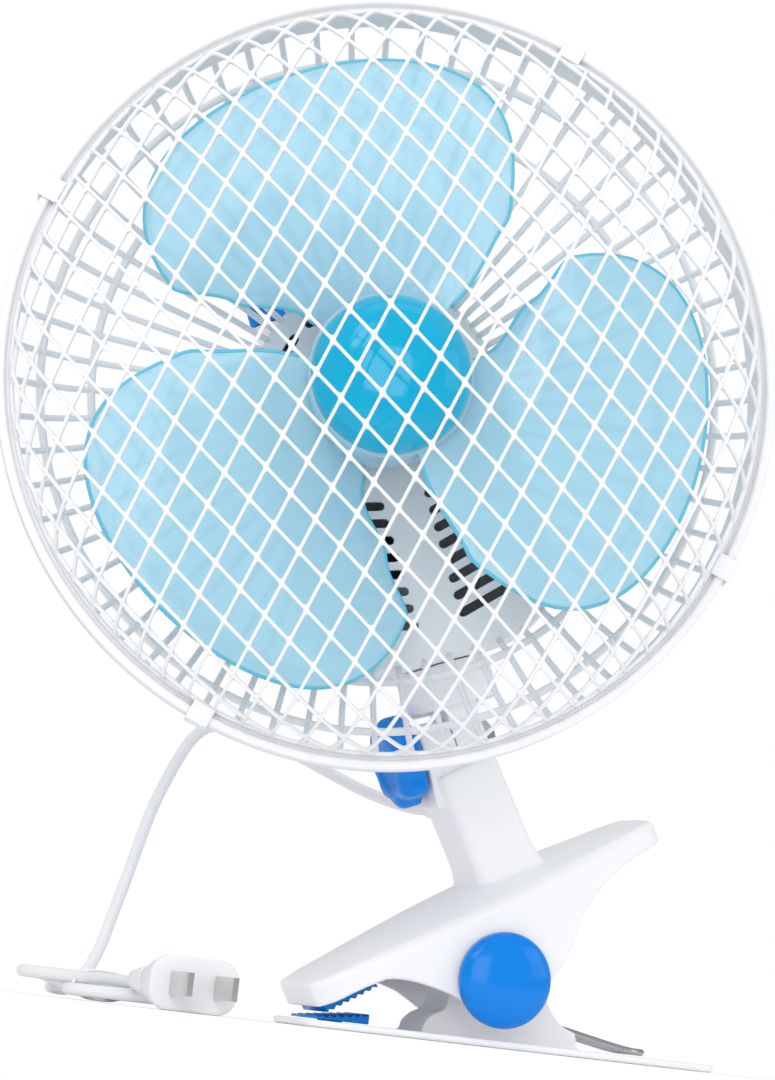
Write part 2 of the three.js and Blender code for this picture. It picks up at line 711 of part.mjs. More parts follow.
addPiece(tilt, 'swivel_bracket', swivelBracket(), white);

// ---------------------------------------------------------------- guard
// dome of the front net, stepped along its profile: radius and height against the length along it
const domeInner = rimRadius - rimWall + 0.8;
const domeProfile = [{ radius: 0, y: -netDepth, along: 0 }];
for (let i = 1; i <= 90; i += 1) {
  const before = domeProfile[i - 1];
  const radius = domeInner * Math.sin(i * DEG) ** domeSquare;
  const y = i === 90 ? 0 : -netDepth * Math.cos(i * DEG) ** domeSquare;
  const along = before.along + Math.hypot(radius - before.radius, y - before.y);
  domeProfile.push({ radius, y, along });
}

function domePoint(x, z) {
  const along = Math.hypot(x, z);
  const angle = Math.atan2(z, x);
  const last = domeProfile[90];
  if (along >= last.along) return { radius: last.radius, y: along - last.along, angle };
  const i = domeProfile.findIndex((place) => place.along > along);
  const [from, to] = [domeProfile[i - 1], domeProfile[i]];
  const share = (along - from.along) / (to.along - from.along);
  const radius = from.radius + (to.radius - from.radius) * share;
  return { radius, y: from.y + (to.y - from.y) * share, angle };
}

function netCorner(x, z, out) {
  const step = 0.5;
  const flat = Math.hypot(x, z) || 1e-6;
  const here = domePoint(x, z);
  const ahead = domePoint(x * (1 + step / flat), z * (1 + step / flat));
  const run = ahead.radius - here.radius;
  const rise = ahead.y - here.y;
  const length = Math.hypot(run, rise) || 1;
  const shift = out * strandThick / 2;
  const radius = here.radius + shift * (rise / length);
  const y = here.y - shift * (run / length);
  return new THREE.Vector3(radius * Math.cos(here.angle), y, radius * Math.sin(here.angle));
}

function frontNet() {
  const first = (netTurn - netAngle / 2) * DEG;
  const second = (netTurn + netAngle / 2) * DEG;
  const a = new THREE.Vector2(Math.cos(first), Math.sin(first));
  const b = new THREE.Vector2(Math.cos(second), Math.sin(second));
  const halfBar = strandWidth / 2 / Math.sin(netAngle * DEG);
  const reach = domeProfile[90].along + netSide;
  const nodes = [];
  const most = Math.ceil(reach / netSide * 1.6);
  for (let i = -most; i <= most; i += 1) {
    for (let j = -most; j <= most; j += 1) {
      const x = (i * a.x + j * b.x) * netSide;
      const z = (i * a.y + j * b.y) * netSide;
      if (Math.hypot(x, z) < reach) nodes.push([i, j]);
    }
  }
  const corner = (i, j, si, sj) => {
    const x = (i * netSide + si * halfBar) * a.x + (j * netSide + sj * halfBar) * b.x;
    const z = (i * netSide + si * halfBar) * a.y + (j * netSide + sj * halfBar) * b.y;
    const middle = netCorner((i * a.x + j * b.x) * netSide, (i * a.y + j * b.y) * netSide, -1);
    return { outer: netCorner(x, z, 1), inner: middle };
  };
  return lattice(nodes, corner, (i, j, di, dj) => [i + di, j + dj]);
}

function frontGuard() {
  const inner = rimRadius - rimWall;
  const rim = lathe([
    [inner, -0.15],
    [rimRadius, -0.15],
    [rimRadius, -rimFront + 1.2],
    [rimRadius - 1.2, -rimFront],
    [inner + 1, -rimFront],
    [inner, -rimFront + 1],
  ], 48);
  const keep = rod(rimRadius + 30, -netDepth - 10, -rimFront + 2.5, 'y', 8);
  return join(common(frontNet(), keep), rim);
}

// shield outline in X and Z: round about the fan axis, with a broad tail below
function shieldOutline(inset) {
  const radius = shieldRadius - inset;
  const hip = shieldHip - inset;
  const bottom = -shieldBottom + inset;
  const outline = new THREE.Shape();
  outline.moveTo(radius, 0);
  outline.absarc(0, 0, radius, 0, Math.PI, false);
  outline.quadraticCurveTo(-radius + 0.5, -hipBend, -hip, -hipDrop);
  outline.quadraticCurveTo(-hip + 2.5, bottom, -hip / 2.6, bottom);
  outline.lineTo(hip / 2.6, bottom);
  outline.quadraticCurveTo(hip - 2.5, bottom, hip, -hipDrop);
  outline.quadraticCurveTo(radius - 0.5, -hipBend, radius, 0);
  return outline;
}

// distance from the fan axis to the shield's edge in one direction
function shieldReach(angle) {
  const edge = shieldOutline(0).getPoints(12);
  const ray = new THREE.Vector2(Math.cos(angle), Math.sin(angle));
  let reach = shieldRadius;
  for (let i = 0; i + 1 < edge.length; i += 1) {
    const from = edge[i];
    const side = edge[i + 1].clone().sub(from);
    const spread = ray.cross(side);
    if (Math.abs(spread) < 1e-9) continue;
    const along = from.cross(side) / spread;
    const share = from.cross(ray) / spread;
    if (along > 0 && share >= 0 && share <= 1) reach = along;
  }
  return reach;
}

const shieldBack = bowlDepth + shieldThick;
const bowlLevels = [
  { ring: false },
  { radius: innerRing, y: bowlDepth - 4, ring: true },
  { radius: outerRing, y: bowlDepth - 12, ring: true },
  { radius: bandRadius - bandWall + 0.8, y: bandDepth - 1, ring: false },
];

function bowlRibs() {
  const nodes = [];
  for (let level = 0; level < bowlLevels.length; level += 1) {
    for (let rib = 0; rib < ribCount; rib += 1) nodes.push([level, rib]);
  }
  const corner = (level, rib, si, sj) => {
    const angle = (rib / ribCount) * 2 * Math.PI;
    const place = level === 0 ? { radius: shieldReach(angle) - 1, y: bowlDepth + 1.1 } : bowlLevels[level];
    const along = si * (bowlLevels[level].ring ? ringWidth / 2 : 0.3);
    const across = sj * ribWidth / 2;
    const lift = along * (level >= 2 ? 0.8 : 0.15);
    const turned = (radius, y, side) => new THREE.Vector3(
      radius * Math.cos(angle) - side * Math.sin(angle),
      y,
      radius * Math.sin(angle) + side * Math.cos(angle),
    );
    const back = turned(place.radius + along, place.y - lift + ribThick / 2, across);
    return { outer: back, inner: turned(place.radius, place.y - ribThick / 2, 0) };
  };
  const next = (level, rib, di, dj) => {
    if (dj !== 0 && !bowlLevels[level].ring) return null;
    return [level + di, (rib + dj + ribCount) % ribCount];
  };
  return lattice(nodes, corner, next);
}

// chevron slots below the motor and short arcs round it
function ventSlots() {
  const cuts = [];
  const half = slotHeight / 2;
  const rise = Math.tan(slotRise * DEG);
  for (const side of [-1, 1]) {
    for (let row = 0; row < slotCount; row += 1) {
      const z = -slotStart - row * slotPitch;
      const inner = slotMiddle + half;
      const outer = 12.5 + row * 1.9 - half;
      cuts.push(capsule(side * inner, z, side * outer, z + (outer - inner) * rise, half));
      if (row < 3) cuts.push(capsule(side * 19.5, z + 13 * rise, side * (26 + row), z + (20 + row) * rise, half));
    }
    for (const angle of [-6, 20, 46, 72]) {
      const from = (angle - 7) * DEG;
      const to = (angle + 7) * DEG;
      const r = 30.5;
      const x0 = side * r * Math.cos(from);
      const x1 = side * r * Math.cos(to);
      cuts.push(capsule(x0, r * Math.sin(from), x1, r * Math.sin(to), half));
    }
  }
  return cuts;
}

function rearGuard() {
  const band = lathe([
    [bandRadius - bandWall, 0.15],
    [rimRadius, 0.15],
    [rimRadius, flangeThick],
    [bandRadius, flangeThick + 0.01],
    [bandRadius, bandDepth - 3],
    [bandRadius - 3.5, bandDepth + 1],
    [bandRadius - bandWall - 1.5, bandDepth - 3.5],
  ], 48);
  const plate = slab(shieldOutline(0), bowlDepth, shieldBack + shieldSkirt, 7);
  const hollow = slab(shieldOutline(coverWall), shieldBack, shieldBack + shieldSkirt + 1, 7);
  const boss = rod(bushRadius + 3, shieldBack - 0.5, shieldBack + bushLength + 2, 'y', 24);
  const seat = rod(bushRadius + fit, shieldBack, shieldBack + bushLength + 4, 'y', 24);
  const shaftHole = rod(shaftRadius + 1.5, 0, 60, 'y', 20);
  const posts = statorPosts(shieldBack - 0.5, stackFront - fit);
  const slots = ventSlots().map((outline) => slab(outline, bowlDepth - 2, shieldBack + 0.8, 1));
  return cut(join(band, bowlRibs(), cut(plate, hollow), boss, ...posts), seat, shaftHole, ...slots);
}

function statorPosts(from, to) {
  const posts = [];
  for (const [sx, sz] of [[1, 1], [-1, 1], [-1, -1], [1, -1]]) {
    posts.push(rod(3, from, to, 'y', 12).translate(sx * statorOuter * 0.62, 0, sz * statorOuter * 0.62));
  }
  return posts;
}

// spring clip over both rims, placed at an angle round the fan axis
function guardClip(angle) {
  const outside = rimRadius + fit;
  const outline = new THREE.Shape();
  outline.moveTo(outside, -rimFront - fit);
  outline.lineTo(outside, flangeThick + fit);
  outline.lineTo(outside - 1.3, flangeThick + fit);
  outline.lineTo(outside - 1.3, flangeThick + fit + clipThick);
  outline.lineTo(outside + clipThick, flangeThick + fit + clipThick);
  outline.lineTo(outside + clipThick, -rimFront - fit - clipThick);
  outline.lineTo(outside - clipLip, -rimFront - fit - clipThick);
  outline.lineTo(outside - clipLip, -rimFront - fit);
  outline.closePath();
  const geometry = new THREE.ExtrudeGeometry(outline, { depth: clipWidth, bevelEnabled: false });
  return geometry.translate(0, 0, -clipWidth / 2).rotateY(-angle * DEG);
}

addPiece(head, 'front_guard', frontGuard(), white);
addPiece(head, 'rear_guard', rearGuard(), white);
[45, 135, 225, 315].forEach((angle, i) => addPiece(head, `guard_clip_${i + 1}`, guardClip(angle), white));

// ---------------------------------------------------------------- motor cover and drive
function outlineRing(outline, y, scale, middleZ, count = 6) {
  const points = outline.getPoints(count);
  if (points[0].distanceTo(points[points.length - 1]) < 1e-6) points.pop();
  return points.map((p) => new THREE.Vector3(p.x * scale, y, middleZ + (p.y - middleZ) * scale));
}

const coverFront = shieldBack + shieldSkirt + fit;

function coverBody(inset) {
  const depth = coverDepth - inset;
  const rings = [];
  const steps = 5;
  const first = inset > 0 ? -1 : 0;
  rings.push(outlineRing(shieldOutline(inset), coverFront + first, 1, -14));
  for (let i = 1; i <= steps; i += 1) {
    const angle = (i / steps) * 82 * DEG;
    const scale = 1 - 0.55 * (1 - Math.cos(angle)) ** 1.6;
    rings.push(outlineRing(shieldOutline(inset), coverFront + depth * Math.sin(angle), scale, -14));
  }
  return loft(rings);
}

const postY = headReach;
const gearboxFront = stackFront + stackLength + gearboxStandoff;
const clutchY = gearboxFront + gearboxDepth / 2 - 1;
const knobSeat = 37;
const coverBack = coverFront + coverDepth * Math.sin(82 * DEG);

function motorCover() {
  const postHole = rod(postRadius + fit, -shieldBottom - 5, -30, 'z', 28).translate(0, postY, 0);
  const bossTube = rod(postRadius + 3, -shieldBottom + 1, -shieldBottom + 20, 'z', 28).translate(0, postY, 0);
  const knobHole = rod(clutchRadius + 0.6, 10, 60, 'z', 16).translate(clutchX, clutchY, 0);
  const knobBoss = rod(clutchRadius + 2.5, 22, knobSeat - fit, 'z').translate(clutchX, clutchY, 0);
  const switchHole = rod(switchStem + 0.6, coverBack - 5 * coverWall, coverBack + 5).translate(0, 0, switchZ);
  const backSlots = [];
  for (let i = 0; i < backSlotCount; i += 1) {
    for (const side of [-1, 1]) {
      const z = backSlotTop - i * backSlotPitch;
      const outline = capsule(side * backSlotMiddle, z, side * backSlotEnd, z, slotHeight / 2);
      backSlots.push(slab(outline, coverBack - 5 * coverWall, coverBack + 5, 1));
    }
  }
  const shell = join(cut(coverBody(0), coverBody(coverWall)), common(bossTube, coverBody(0.5)), knobBoss);
  return cut(shell, postHole, knobHole, switchHole, ...backSlots);
}

function bladePoint(turn, i, rows, j, columns) {
  const u = i / rows;
  const v = -1 + (2 * j) / columns;
  const tip = bladeRadius * (1 - 0.28 * Math.abs(v) ** 5);
  const radius = hubRadius - hubWall + (tip - hubRadius + hubWall) * u;
  const half = (bladeHalfAngle - 5 * (1 - Math.min(1, 3 * u))) * DEG;
  const angle = turn * DEG + v * half;
  const depth = bladeDepth * (0.82 - 0.06 * u);
  const y = v * depth / 2 - 1 - 3 * (1 - v * v) * u;
  return new THREE.Vector3(radius * Math.cos(angle), y, radius * Math.sin(angle));
}

function fanBlade() {
  const rows = 4;
  const columns = 6;
  const blades = [];
  for (let k = 0; k < bladeCount; k += 1) {
    const turn = bladeTurn + (360 / bladeCount) * k;
    blades.push(sheet(rows, columns, (i, j) => bladePoint(turn, i, rows, j, columns), bladeThick));
  }
  const bore = shaftRadius + fit;
  const cup = lathe([
    [bore, -hubFront],
    [hubRadius, -hubFront],
    [hubRadius, hubBack],
    [hubRadius - hubWall, hubBack],
    [hubRadius - hubWall, -hubFront + hubWall],
    [bore + 4, -hubFront + hubWall],
    [bore + 4, hubBack - 4],
    [bore, hubBack - 4],
  ], 30);
  return join(cup, ...blades);
}

function spinner() {
  const front = -hubFront - fit;
  const profile = [[0, -shaftFront - fit], [shaftRadius + fit, -shaftFront - fit], [shaftRadius + fit, front]];
  const steps = 5;
  for (let i = 0; i <= steps; i += 1) {
    const angle = (i / steps) * 90 * DEG;
    profile.push([(hubRadius - 1) * Math.cos(angle) ** 0.8, front - spinnerHeight * Math.sin(angle)]);
  }
  profile[profile.length - 1][0] = 0;
  return lathe(profile, 30);
}

function gearbox() {
  const back = gearboxFront + gearboxDepth;
  const box = slab(new THREE.Shape([
    new THREE.Vector2(-gearboxLeft, -gearboxBelow),
    new THREE.Vector2(gearboxRight - gearboxChamfer + 1, -gearboxBelow),
    new THREE.Vector2(gearboxRight, -gearboxBelow + gearboxChamfer - 1),
    new THREE.Vector2(gearboxRight, gearboxAbove - gearboxChamfer),
    new THREE.Vector2(gearboxRight - gearboxChamfer, gearboxAbove),
    new THREE.Vector2(-gearboxLeft + gearboxChamfer - 1, gearboxAbove),
    new THREE.Vector2(-gearboxLeft, gearboxAbove - gearboxChamfer),
  ]), gearboxFront, back);
  const legs = [];
  const flange = block(-legX - 3, legX + 3, gearboxFront, gearboxFront + 2.5, -legZ - 3, legZ + 3);
  for (const [x, z] of [[legX, legZ], [-legX, legZ], [-legX, -legZ], [legX, -legZ]]) {
    legs.push(rod(2.4, stackFront + stackLength + fit, gearboxFront + 1, 'y', 12).translate(x, 0, z));
  }
  const boss = rod(bushRadius + 2.5, gearboxFront - 3, gearboxFront + 1, 'y', 24);
  const seat = rod(bushRadius + fit, gearboxFront - 5, gearboxFront + 3, 'y', 24);
  const shaftHole = rod(shaftRadius + 0.8, 0, back - 2, 'y', 20);
  const clutchHole = rod(clutchRadius + fit, -40, 60, 'z', 16).translate(clutchX, clutchY, 0);
  return cut(join(box, flange, boss, ...legs), seat, shaftHole, clutchHole);
}

const bush = (from) => lathe(ringProfile(shaftRadius + fit, bushRadius, from, from + bushLength), 16);
const rearBushFront = gearboxFront - bushLength + 2.7;

addPiece(head, 'motor_cover', motorCover(), white);
const stack = ringProfile(rotorRadius + airGap, statorOuter, stackFront, stackFront + stackLength);
addPiece(head, 'stator', lathe(stack, 24), steel);
const winding = (from, to) => lathe(ringProfile(rotorRadius + 2, statorOuter - 8, from, to), 20);
addPiece(head, 'winding_front', winding(stackFront - windingReach, stackFront - fit), copper);
const stackBack = stackFront + stackLength;
addPiece(head, 'winding_rear', winding(stackBack + fit, stackBack + windingReach), copper);
const core = ringProfile(shaftRadius + fit, rotorRadius, stackFront + 0.5, stackFront + stackLength - 0.5);
addPiece(head, 'rotor', lathe(core, 20), dark);
addPiece(head, 'motor_shaft', rod(shaftRadius, -shaftFront, gearboxFront + gearboxDepth - 4), steel);
addPiece(head, 'front_bearing', bush(shieldBack + fit), bronze);
addPiece(head, 'rear_bearing', bush(rearBushFront), bronze);
addPiece(head, 'gearbox', gearbox(), dark);
addPiece(head, 'fan_blade', fanBlade(), bladeBlue);
addPiece(head, 'spinner', spinner(), turquoise);

// clutch rod with its pull knob, and the speed knob on its switch
const clutchRod = rod(clutchRadius, -10, knobSeat + 3, 'z', 16).translate(clutchX, clutchY, 0);
const pull = rod(swingKnobRadius, knobSeat, knobSeat + swingKnobHeight, 'z', 24).translate(clutchX, clutchY, 0);
addPiece(head, 'swing_knob', join(clutchRod, pull), blue);

const switchBack = coverBack - coverWall - fit;
const switchFront = switchBack - switchDepth;
const switchBox = block(-switchHalf, switchHalf, switchFront, switchBack, switchZ - switchRise, switchZ + switchRise);
const stem = rod(switchStem, switchBack - 1, coverBack + 6).translate(0, 0, switchZ);
addPiece(head, 'speed_switch', join(switchBox, stem), dark);
const dialBody = rod(speedKnobRadius, coverBack + fit, coverBack + fit + speedKnobHeight, 'y', 24);
const dialSeat = rod(switchStem + fit, coverBack - 1, coverBack + 6.3 + fit);
addPiece(head, 'speed_knob', cut(dialBody, dialSeat).translate([0, 0, switchZ]), blue);

// ---------------------------------------------------------------- cord, hank and plug
const glandRoot = jaw.localToWorld(new THREE.Vector3(neckAlong, neckHalfY, glandAlong));
const glandLength = 24;

function cordGland() {
  const profile = [
    [cordRadius + 0.2, -6],
    [glandRadius, -6],
    [glandRadius, 0.4],
    [glandRadius + 1.2, 0.4],
    [glandRadius + 1.2, 2.4],
    [glandRadius, 2.4],
    [cordRadius + 0.9, glandLength],
    [cordRadius + 0.2, glandLength],
  ];
  return lathe(profile, 14).translate(neckAlong, neckHalfY, glandAlong);
}

addPiece(jaw, 'cord_gland', cordGland(), white);

// the cord arches back from the gland, comes down beside the fan and runs into the hank on the floor
const hankX = -129;
const hankFar = 28; // end of the hank that the cord enters
const hankNear = hankFar - hankLength;
const glandExit = jaw.localToWorld(new THREE.Vector3(neckAlong, neckHalfY + glandLength + fit, glandAlong));
const cordPath = [
  glandExit,
  new THREE.Vector3(-16, 50, 71),
  new THREE.Vector3(-26, 66, 75),
  new THREE.Vector3(-45, 79, 84),
  new THREE.Vector3(-63, 81, 90),
  new THREE.Vector3(-78, 75, 88),
  new THREE.Vector3(-93, 64, 66.5),
  new THREE.Vector3(-104, 56, 34),
  new THREE.Vector3(-112, 50, 12),
  new THREE.Vector3(-121, 41, 3),
  new THREE.Vector3(hankX + 0.4, hankFar + 7, cordRadius + 0.3),
  new THREE.Vector3(hankX, hankFar + 3, cordRadius + 0.3),
  new THREE.Vector3(hankX, hankFar + 2 * fit, cordRadius + 0.3),
];

// two lobes and a waist, as the tie pulls the turns together
function hankOutline() {
  const half = hankLength / 2;
  const wide = hankWidth / 2;
  const outline = new THREE.Shape();
  outline.moveTo(-hankWaist, 0);
  outline.bezierCurveTo(-hankWaist, -half * 0.35, -wide, -half * 0.4, -wide, -half * 0.65);
  outline.bezierCurveTo(-wide, -half * 0.98, -wide * 0.5, -half, 0, -half);
  outline.bezierCurveTo(wide * 0.5, -half, wide, -half * 0.98, wide, -half * 0.65);
  outline.bezierCurveTo(wide, -half * 0.4, hankWaist, -half * 0.35, hankWaist, 0);
  outline.bezierCurveTo(hankWaist, half * 0.35, wide, half * 0.4, wide, half * 0.65);
  outline.bezierCurveTo(wide, half * 0.98, wide * 0.5, half, 0, half);
  outline.bezierCurveTo(-wide * 0.5, half, -wide, half * 0.98, -wide, half * 0.65);
  outline.bezierCurveTo(-wide, half * 0.4, -hankWaist, half * 0.35, -hankWaist, 0);
  return outline;
}

const hankFloor = tieThick + fit;
const hankShape = new THREE.ExtrudeGeometry(hankOutline(), { depth: hankHeight, bevelEnabled: false, curveSegments: 4 });
const hankMiddle = (hankFar + hankNear) / 2;
addPiece(fan, 'cord', wire(cordPath, cordRadius, 8, 44), cordGrey);
addPiece(fan, 'cord_hank', hankShape.translate(hankX, hankMiddle, hankFloor), cordGrey);

function hankTie() {
  const outline = new THREE.Shape();
  const inner = hankWaist + fit;
  const out = inner + tieThick;
  outline.moveTo(-out, 0);
  outline.lineTo(out, 0);
  outline.lineTo(out, hankFloor + hankHeight + fit + tieThick);
  outline.lineTo(-out, hankFloor + hankHeight + fit + tieThick);
  outline.closePath();
  const hole = new THREE.Path();
  hole.moveTo(-inner, tieThick);
  hole.lineTo(-inner, hankFloor + hankHeight + fit);
  hole.lineTo(inner, hankFloor + hankHeight + fit);
  hole.lineTo(inner, tieThick);
  hole.closePath();
  outline.holes.push(hole);
  return slab(outline, hankMiddle - tieWidth / 2, hankMiddle + tieWidth / 2).translate(hankX, 0, 0);
}

addPiece(fan, 'hank_tie', hankTie(), white);

// flat two-blade plug, its relief meeting the near end of the hank
function plug() {
  const flatRing = (halfX, halfZ, corner, y) => roundedRing(halfX, halfZ, corner, 0, 0, 2)
    .map((p) => new THREE.Vector3(hankX + p.x, y, plugHalfThick + p.y));
  const from = hankNear - fit;
  return loft([
    flatRing(cordRadius + 0.7, cordRadius + 0.7, cordRadius, from),
    flatRing(cordRadius + 3.5, cordRadius + 2.5, cordRadius + 1, from - 20),
    flatRing(plugHalfWidth - 3, plugHalfThick - 1.5, 5, from - 33),
    flatRing(plugHalfWidth, plugHalfThick, 5.5, from - 42),
    flatRing(plugHalfWidth + 1.5, plugHalfThick, 5.5, from - plugLength + 3),
    flatRing(plugHalfWidth, plugHalfThick - 1, 5, from - plugLength),
  ]);
}

addPiece(fan, 'plug', plug(), cordGrey);
const pinFront = hankNear - fit - plugLength - fit;
for (const side of [-1, 1]) {
  const middle = hankX + side * pinSpacing / 2;
  const pin = block(middle - 0.8, middle + 0.8, pinFront - pinLength, pinFront, plugHalfThick - 3.2, plugHalfThick + 3.2);
  addPiece(fan, side < 0 ? 'plug_pin_left' : 'plug_pin_right', pin, steel);
}

export default fan;
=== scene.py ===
import json
from math import atan2, copysign, cos, degrees, hypot, pi, radians, sin, sqrt, tan

import bmesh
import bpy
from mathutils import Matrix, Vector


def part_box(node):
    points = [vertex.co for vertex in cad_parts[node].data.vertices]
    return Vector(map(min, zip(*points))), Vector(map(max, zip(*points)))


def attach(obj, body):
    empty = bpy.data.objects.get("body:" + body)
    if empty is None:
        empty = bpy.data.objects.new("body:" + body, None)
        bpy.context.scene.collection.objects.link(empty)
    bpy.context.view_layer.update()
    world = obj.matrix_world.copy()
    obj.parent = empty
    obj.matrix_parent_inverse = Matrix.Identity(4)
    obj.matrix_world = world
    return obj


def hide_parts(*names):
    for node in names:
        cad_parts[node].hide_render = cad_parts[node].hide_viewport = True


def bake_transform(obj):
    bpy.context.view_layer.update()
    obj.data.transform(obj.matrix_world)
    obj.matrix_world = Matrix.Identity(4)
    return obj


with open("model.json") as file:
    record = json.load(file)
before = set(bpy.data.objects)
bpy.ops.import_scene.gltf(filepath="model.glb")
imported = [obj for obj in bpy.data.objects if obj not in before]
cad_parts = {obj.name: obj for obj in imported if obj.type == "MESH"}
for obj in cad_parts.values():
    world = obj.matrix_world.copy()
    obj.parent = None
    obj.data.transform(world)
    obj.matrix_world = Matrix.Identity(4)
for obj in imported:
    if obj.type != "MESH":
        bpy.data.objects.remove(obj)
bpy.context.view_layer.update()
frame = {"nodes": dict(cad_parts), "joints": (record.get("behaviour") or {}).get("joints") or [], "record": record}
nodes = frame["nodes"]
joints = {joint["name"]: joint for joint in frame["joints"]}

MM = 0.001
TAU = 2 * pi


# ---------------- camera
# The photograph's camera, fitted to the plate, the jaws and the guard. Its eye is level with the plate.
IMAGE_HEIGHT = 1080
FOCAL_PIXELS = 4700
CAMERA_PLACE = Vector((-510.91, -1330.97, 1.5)) * MM
CAMERA_YAW, CAMERA_PITCH, CAMERA_ROLL = (radians(a) for a in (19.069, 5.916, 6.6306))


def make_camera():
    ahead = Vector((sin(CAMERA_YAW) * cos(CAMERA_PITCH), cos(CAMERA_YAW) * cos(CAMERA_PITCH), sin(CAMERA_PITCH)))
    level = Vector((cos(CAMERA_YAW), -sin(CAMERA_YAW), 0))
    above = level.cross(ahead)
    right = cos(CAMERA_ROLL) * level + sin(CAMERA_ROLL) * above
    up = cos(CAMERA_ROLL) * above - sin(CAMERA_ROLL) * level
    data = bpy.data.cameras.new("camera")
    data.sensor_fit = "VERTICAL"
    data.sensor_height = 24
    data.lens = data.sensor_height * FOCAL_PIXELS / IMAGE_HEIGHT
    data.clip_end = 20
    camera = bpy.data.objects.new("camera", data)
    camera.matrix_world = Matrix.Translation(CAMERA_PLACE) @ Matrix((right, up, -ahead)).transposed().to_4x4()
    bpy.context.scene.collection.objects.link(camera)
    bpy.context.scene.camera = camera


make_camera()


# ---------------- frames of the bodies
def frame_from(origin, x_axis, z_axis):
    """A frame in metres whose local units are millimetres."""
    y_axis = z_axis.cross(x_axis).normalized()
    turn = Matrix((x_axis.normalized(), y_axis, z_axis.normalized())).transposed().to_4x4()
    return Matrix.Translation(origin) @ turn @ Matrix.Scale(MM, 4)


JAW_SLOPE = radians(30.8)
pivot = Vector(joints["clip_hinge"]["pos_m"])
tilt_place = Vector(joints["tilt_hinge"]["pos_m"])
tilt_axis = Vector(joints["tilt_hinge"]["axis"])
swing_axis = Vector(joints["head_swing"]["axis"])
rim_middle = Vector(joints["blade_spin"]["pos_m"])
fan_front = Vector(joints["blade_spin"]["axis"])

WORLD = Matrix.Scale(MM, 4)
JAW = frame_from(pivot, Vector((cos(JAW_SLOPE), 0, sin(JAW_SLOPE))),
                 Vector((-sin(JAW_SLOPE), 0, cos(JAW_SLOPE))))
FORK = frame_from(tilt_place, tilt_axis, Vector((-tilt_axis.z, 0, tilt_axis.x)))
TILT = frame_from(tilt_place, tilt_axis, swing_axis)
HEAD = frame_from(rim_middle, (-fan_front).cross(swing_axis), swing_axis)


# ---------------- materials
def linear(colour):
    return tuple(c / 12.92 if c <= 0.04045 else ((c + 0.055) / 1.055) ** 2.4 for c in colour) + (1.0,)


def wire(tree, node, values=(), links=()):
    """Sets some inputs of a node, and links others to the outputs given as (node, output)."""
    for name, value in dict(values).items():
        node.inputs[name].default_value = value
    for name, (source, output) in dict(links).items():
        tree.links.new(source.outputs[output], node.inputs[name])
    return node


def add_node(tree, kind, values=(), links=(), **settings):
    node = tree.nodes.new("ShaderNode" + kind)
    for name, value in settings.items():
        setattr(node, name, value)
    return wire(tree, node, values, links)


def moulded(name, colour, roughness=0.4, grain=0.00004, variation=0.06, clear=0.0, metallic=0.0, sheen=0.5):
    """Moulded plastic or plain metal: fine grain in the bump, soft blotches in roughness and colour."""
    material = bpy.data.materials.new(name)
    material.use_nodes = True
    tree = material.node_tree
    place = {"Vector": (add_node(tree, "TexCoord"), "Object")}
    blotch = add_node(tree, "TexNoise", {"Scale": 35, "Detail": 3}, place)
    fine = add_node(tree, "TexNoise", {"Scale": 1400, "Detail": 2}, place)
    least, most = max(0.03, roughness - variation), roughness + variation
    rough = add_node(tree, "MapRange", {"To Min": least, "To Max": most}, {"Value": (blotch, "Fac")})
    tint = add_node(tree, "Mix", {"A": linear(tuple(c * 0.985 for c in colour)), "B": linear(colour)},
                    {"Factor": (blotch, "Fac")}, data_type="RGBA")
    bump = add_node(tree, "Bump", {"Strength": 0.5, "Distance": grain}, {"Height": (fine, "Fac")})
    wire(tree, tree.nodes["Principled BSDF"],
         {"Metallic": metallic, "IOR": 1.49, "Specular IOR Level": sheen, "Transmission Weight": clear},
         {"Roughness": (rough, "Result"), "Base Color": (tint, "Result"), "Normal": (bump, "Normal")})
    return material


FINISH = {
    "white_plastic": moulded("white_moulding", (0.945, 0.946, 0.952), roughness=0.42, sheen=0.3),
    "blue_plastic": moulded("blue_moulding", (0.0, 0.5, 0.87), roughness=0.14, sheen=0.3),
    "blade_plastic": moulded("blade_clear_blue", (0.745, 0.93, 1.0), roughness=0.1, clear=0.32),
    "spinner_plastic": moulded("spinner_turquoise", (0.0, 0.7, 0.86), roughness=0.07, variation=0.03),
    "steel": moulded("bright_steel", (0.78, 0.79, 0.8), roughness=0.2, metallic=1.0),
    "copper": moulded("winding_copper", (0.72, 0.43, 0.22), roughness=0.35, metallic=1.0),
    "bronze": moulded("bush_bronze", (0.62, 0.47, 0.27), roughness=0.4, metallic=1.0),
    "dark_plastic": moulded("dark_moulding", (0.17, 0.18, 0.2), roughness=0.5),
    "rotor_iron": moulded("rotor_iron", (0.3, 0.31, 0.33), roughness=0.5, metallic=1.0),
    "cord_jacket": moulded("cord_jacket", (0.9, 0.905, 0.915), roughness=0.5, grain=0.00006),
    "plug_brass": moulded("plated_blades", (0.84, 0.84, 0.83), roughness=0.2, metallic=1.0),
}
# The bead along the blades' free edges is a darker, deeper blue than the blades: painted edge shade, standing in
# for the dark line that light draws along a clear plastic edge.
BLADE_EDGE_PAINTED_SHADE = moulded("blade_edge_painted_shade", (0.42, 0.84, 0.95), roughness=0.2, clear=0.2)

for entry in frame["record"]["subparts"]:
    cad = nodes[entry["node"]]
    cad.data.materials.clear()
    cad.data.materials.append(FINISH[entry["material_slot"]])


# ---------------- mesh helpers
def circle(count):
    return [(cos(TAU * i / count), sin(TAU * i / count)) for i in range(count)]


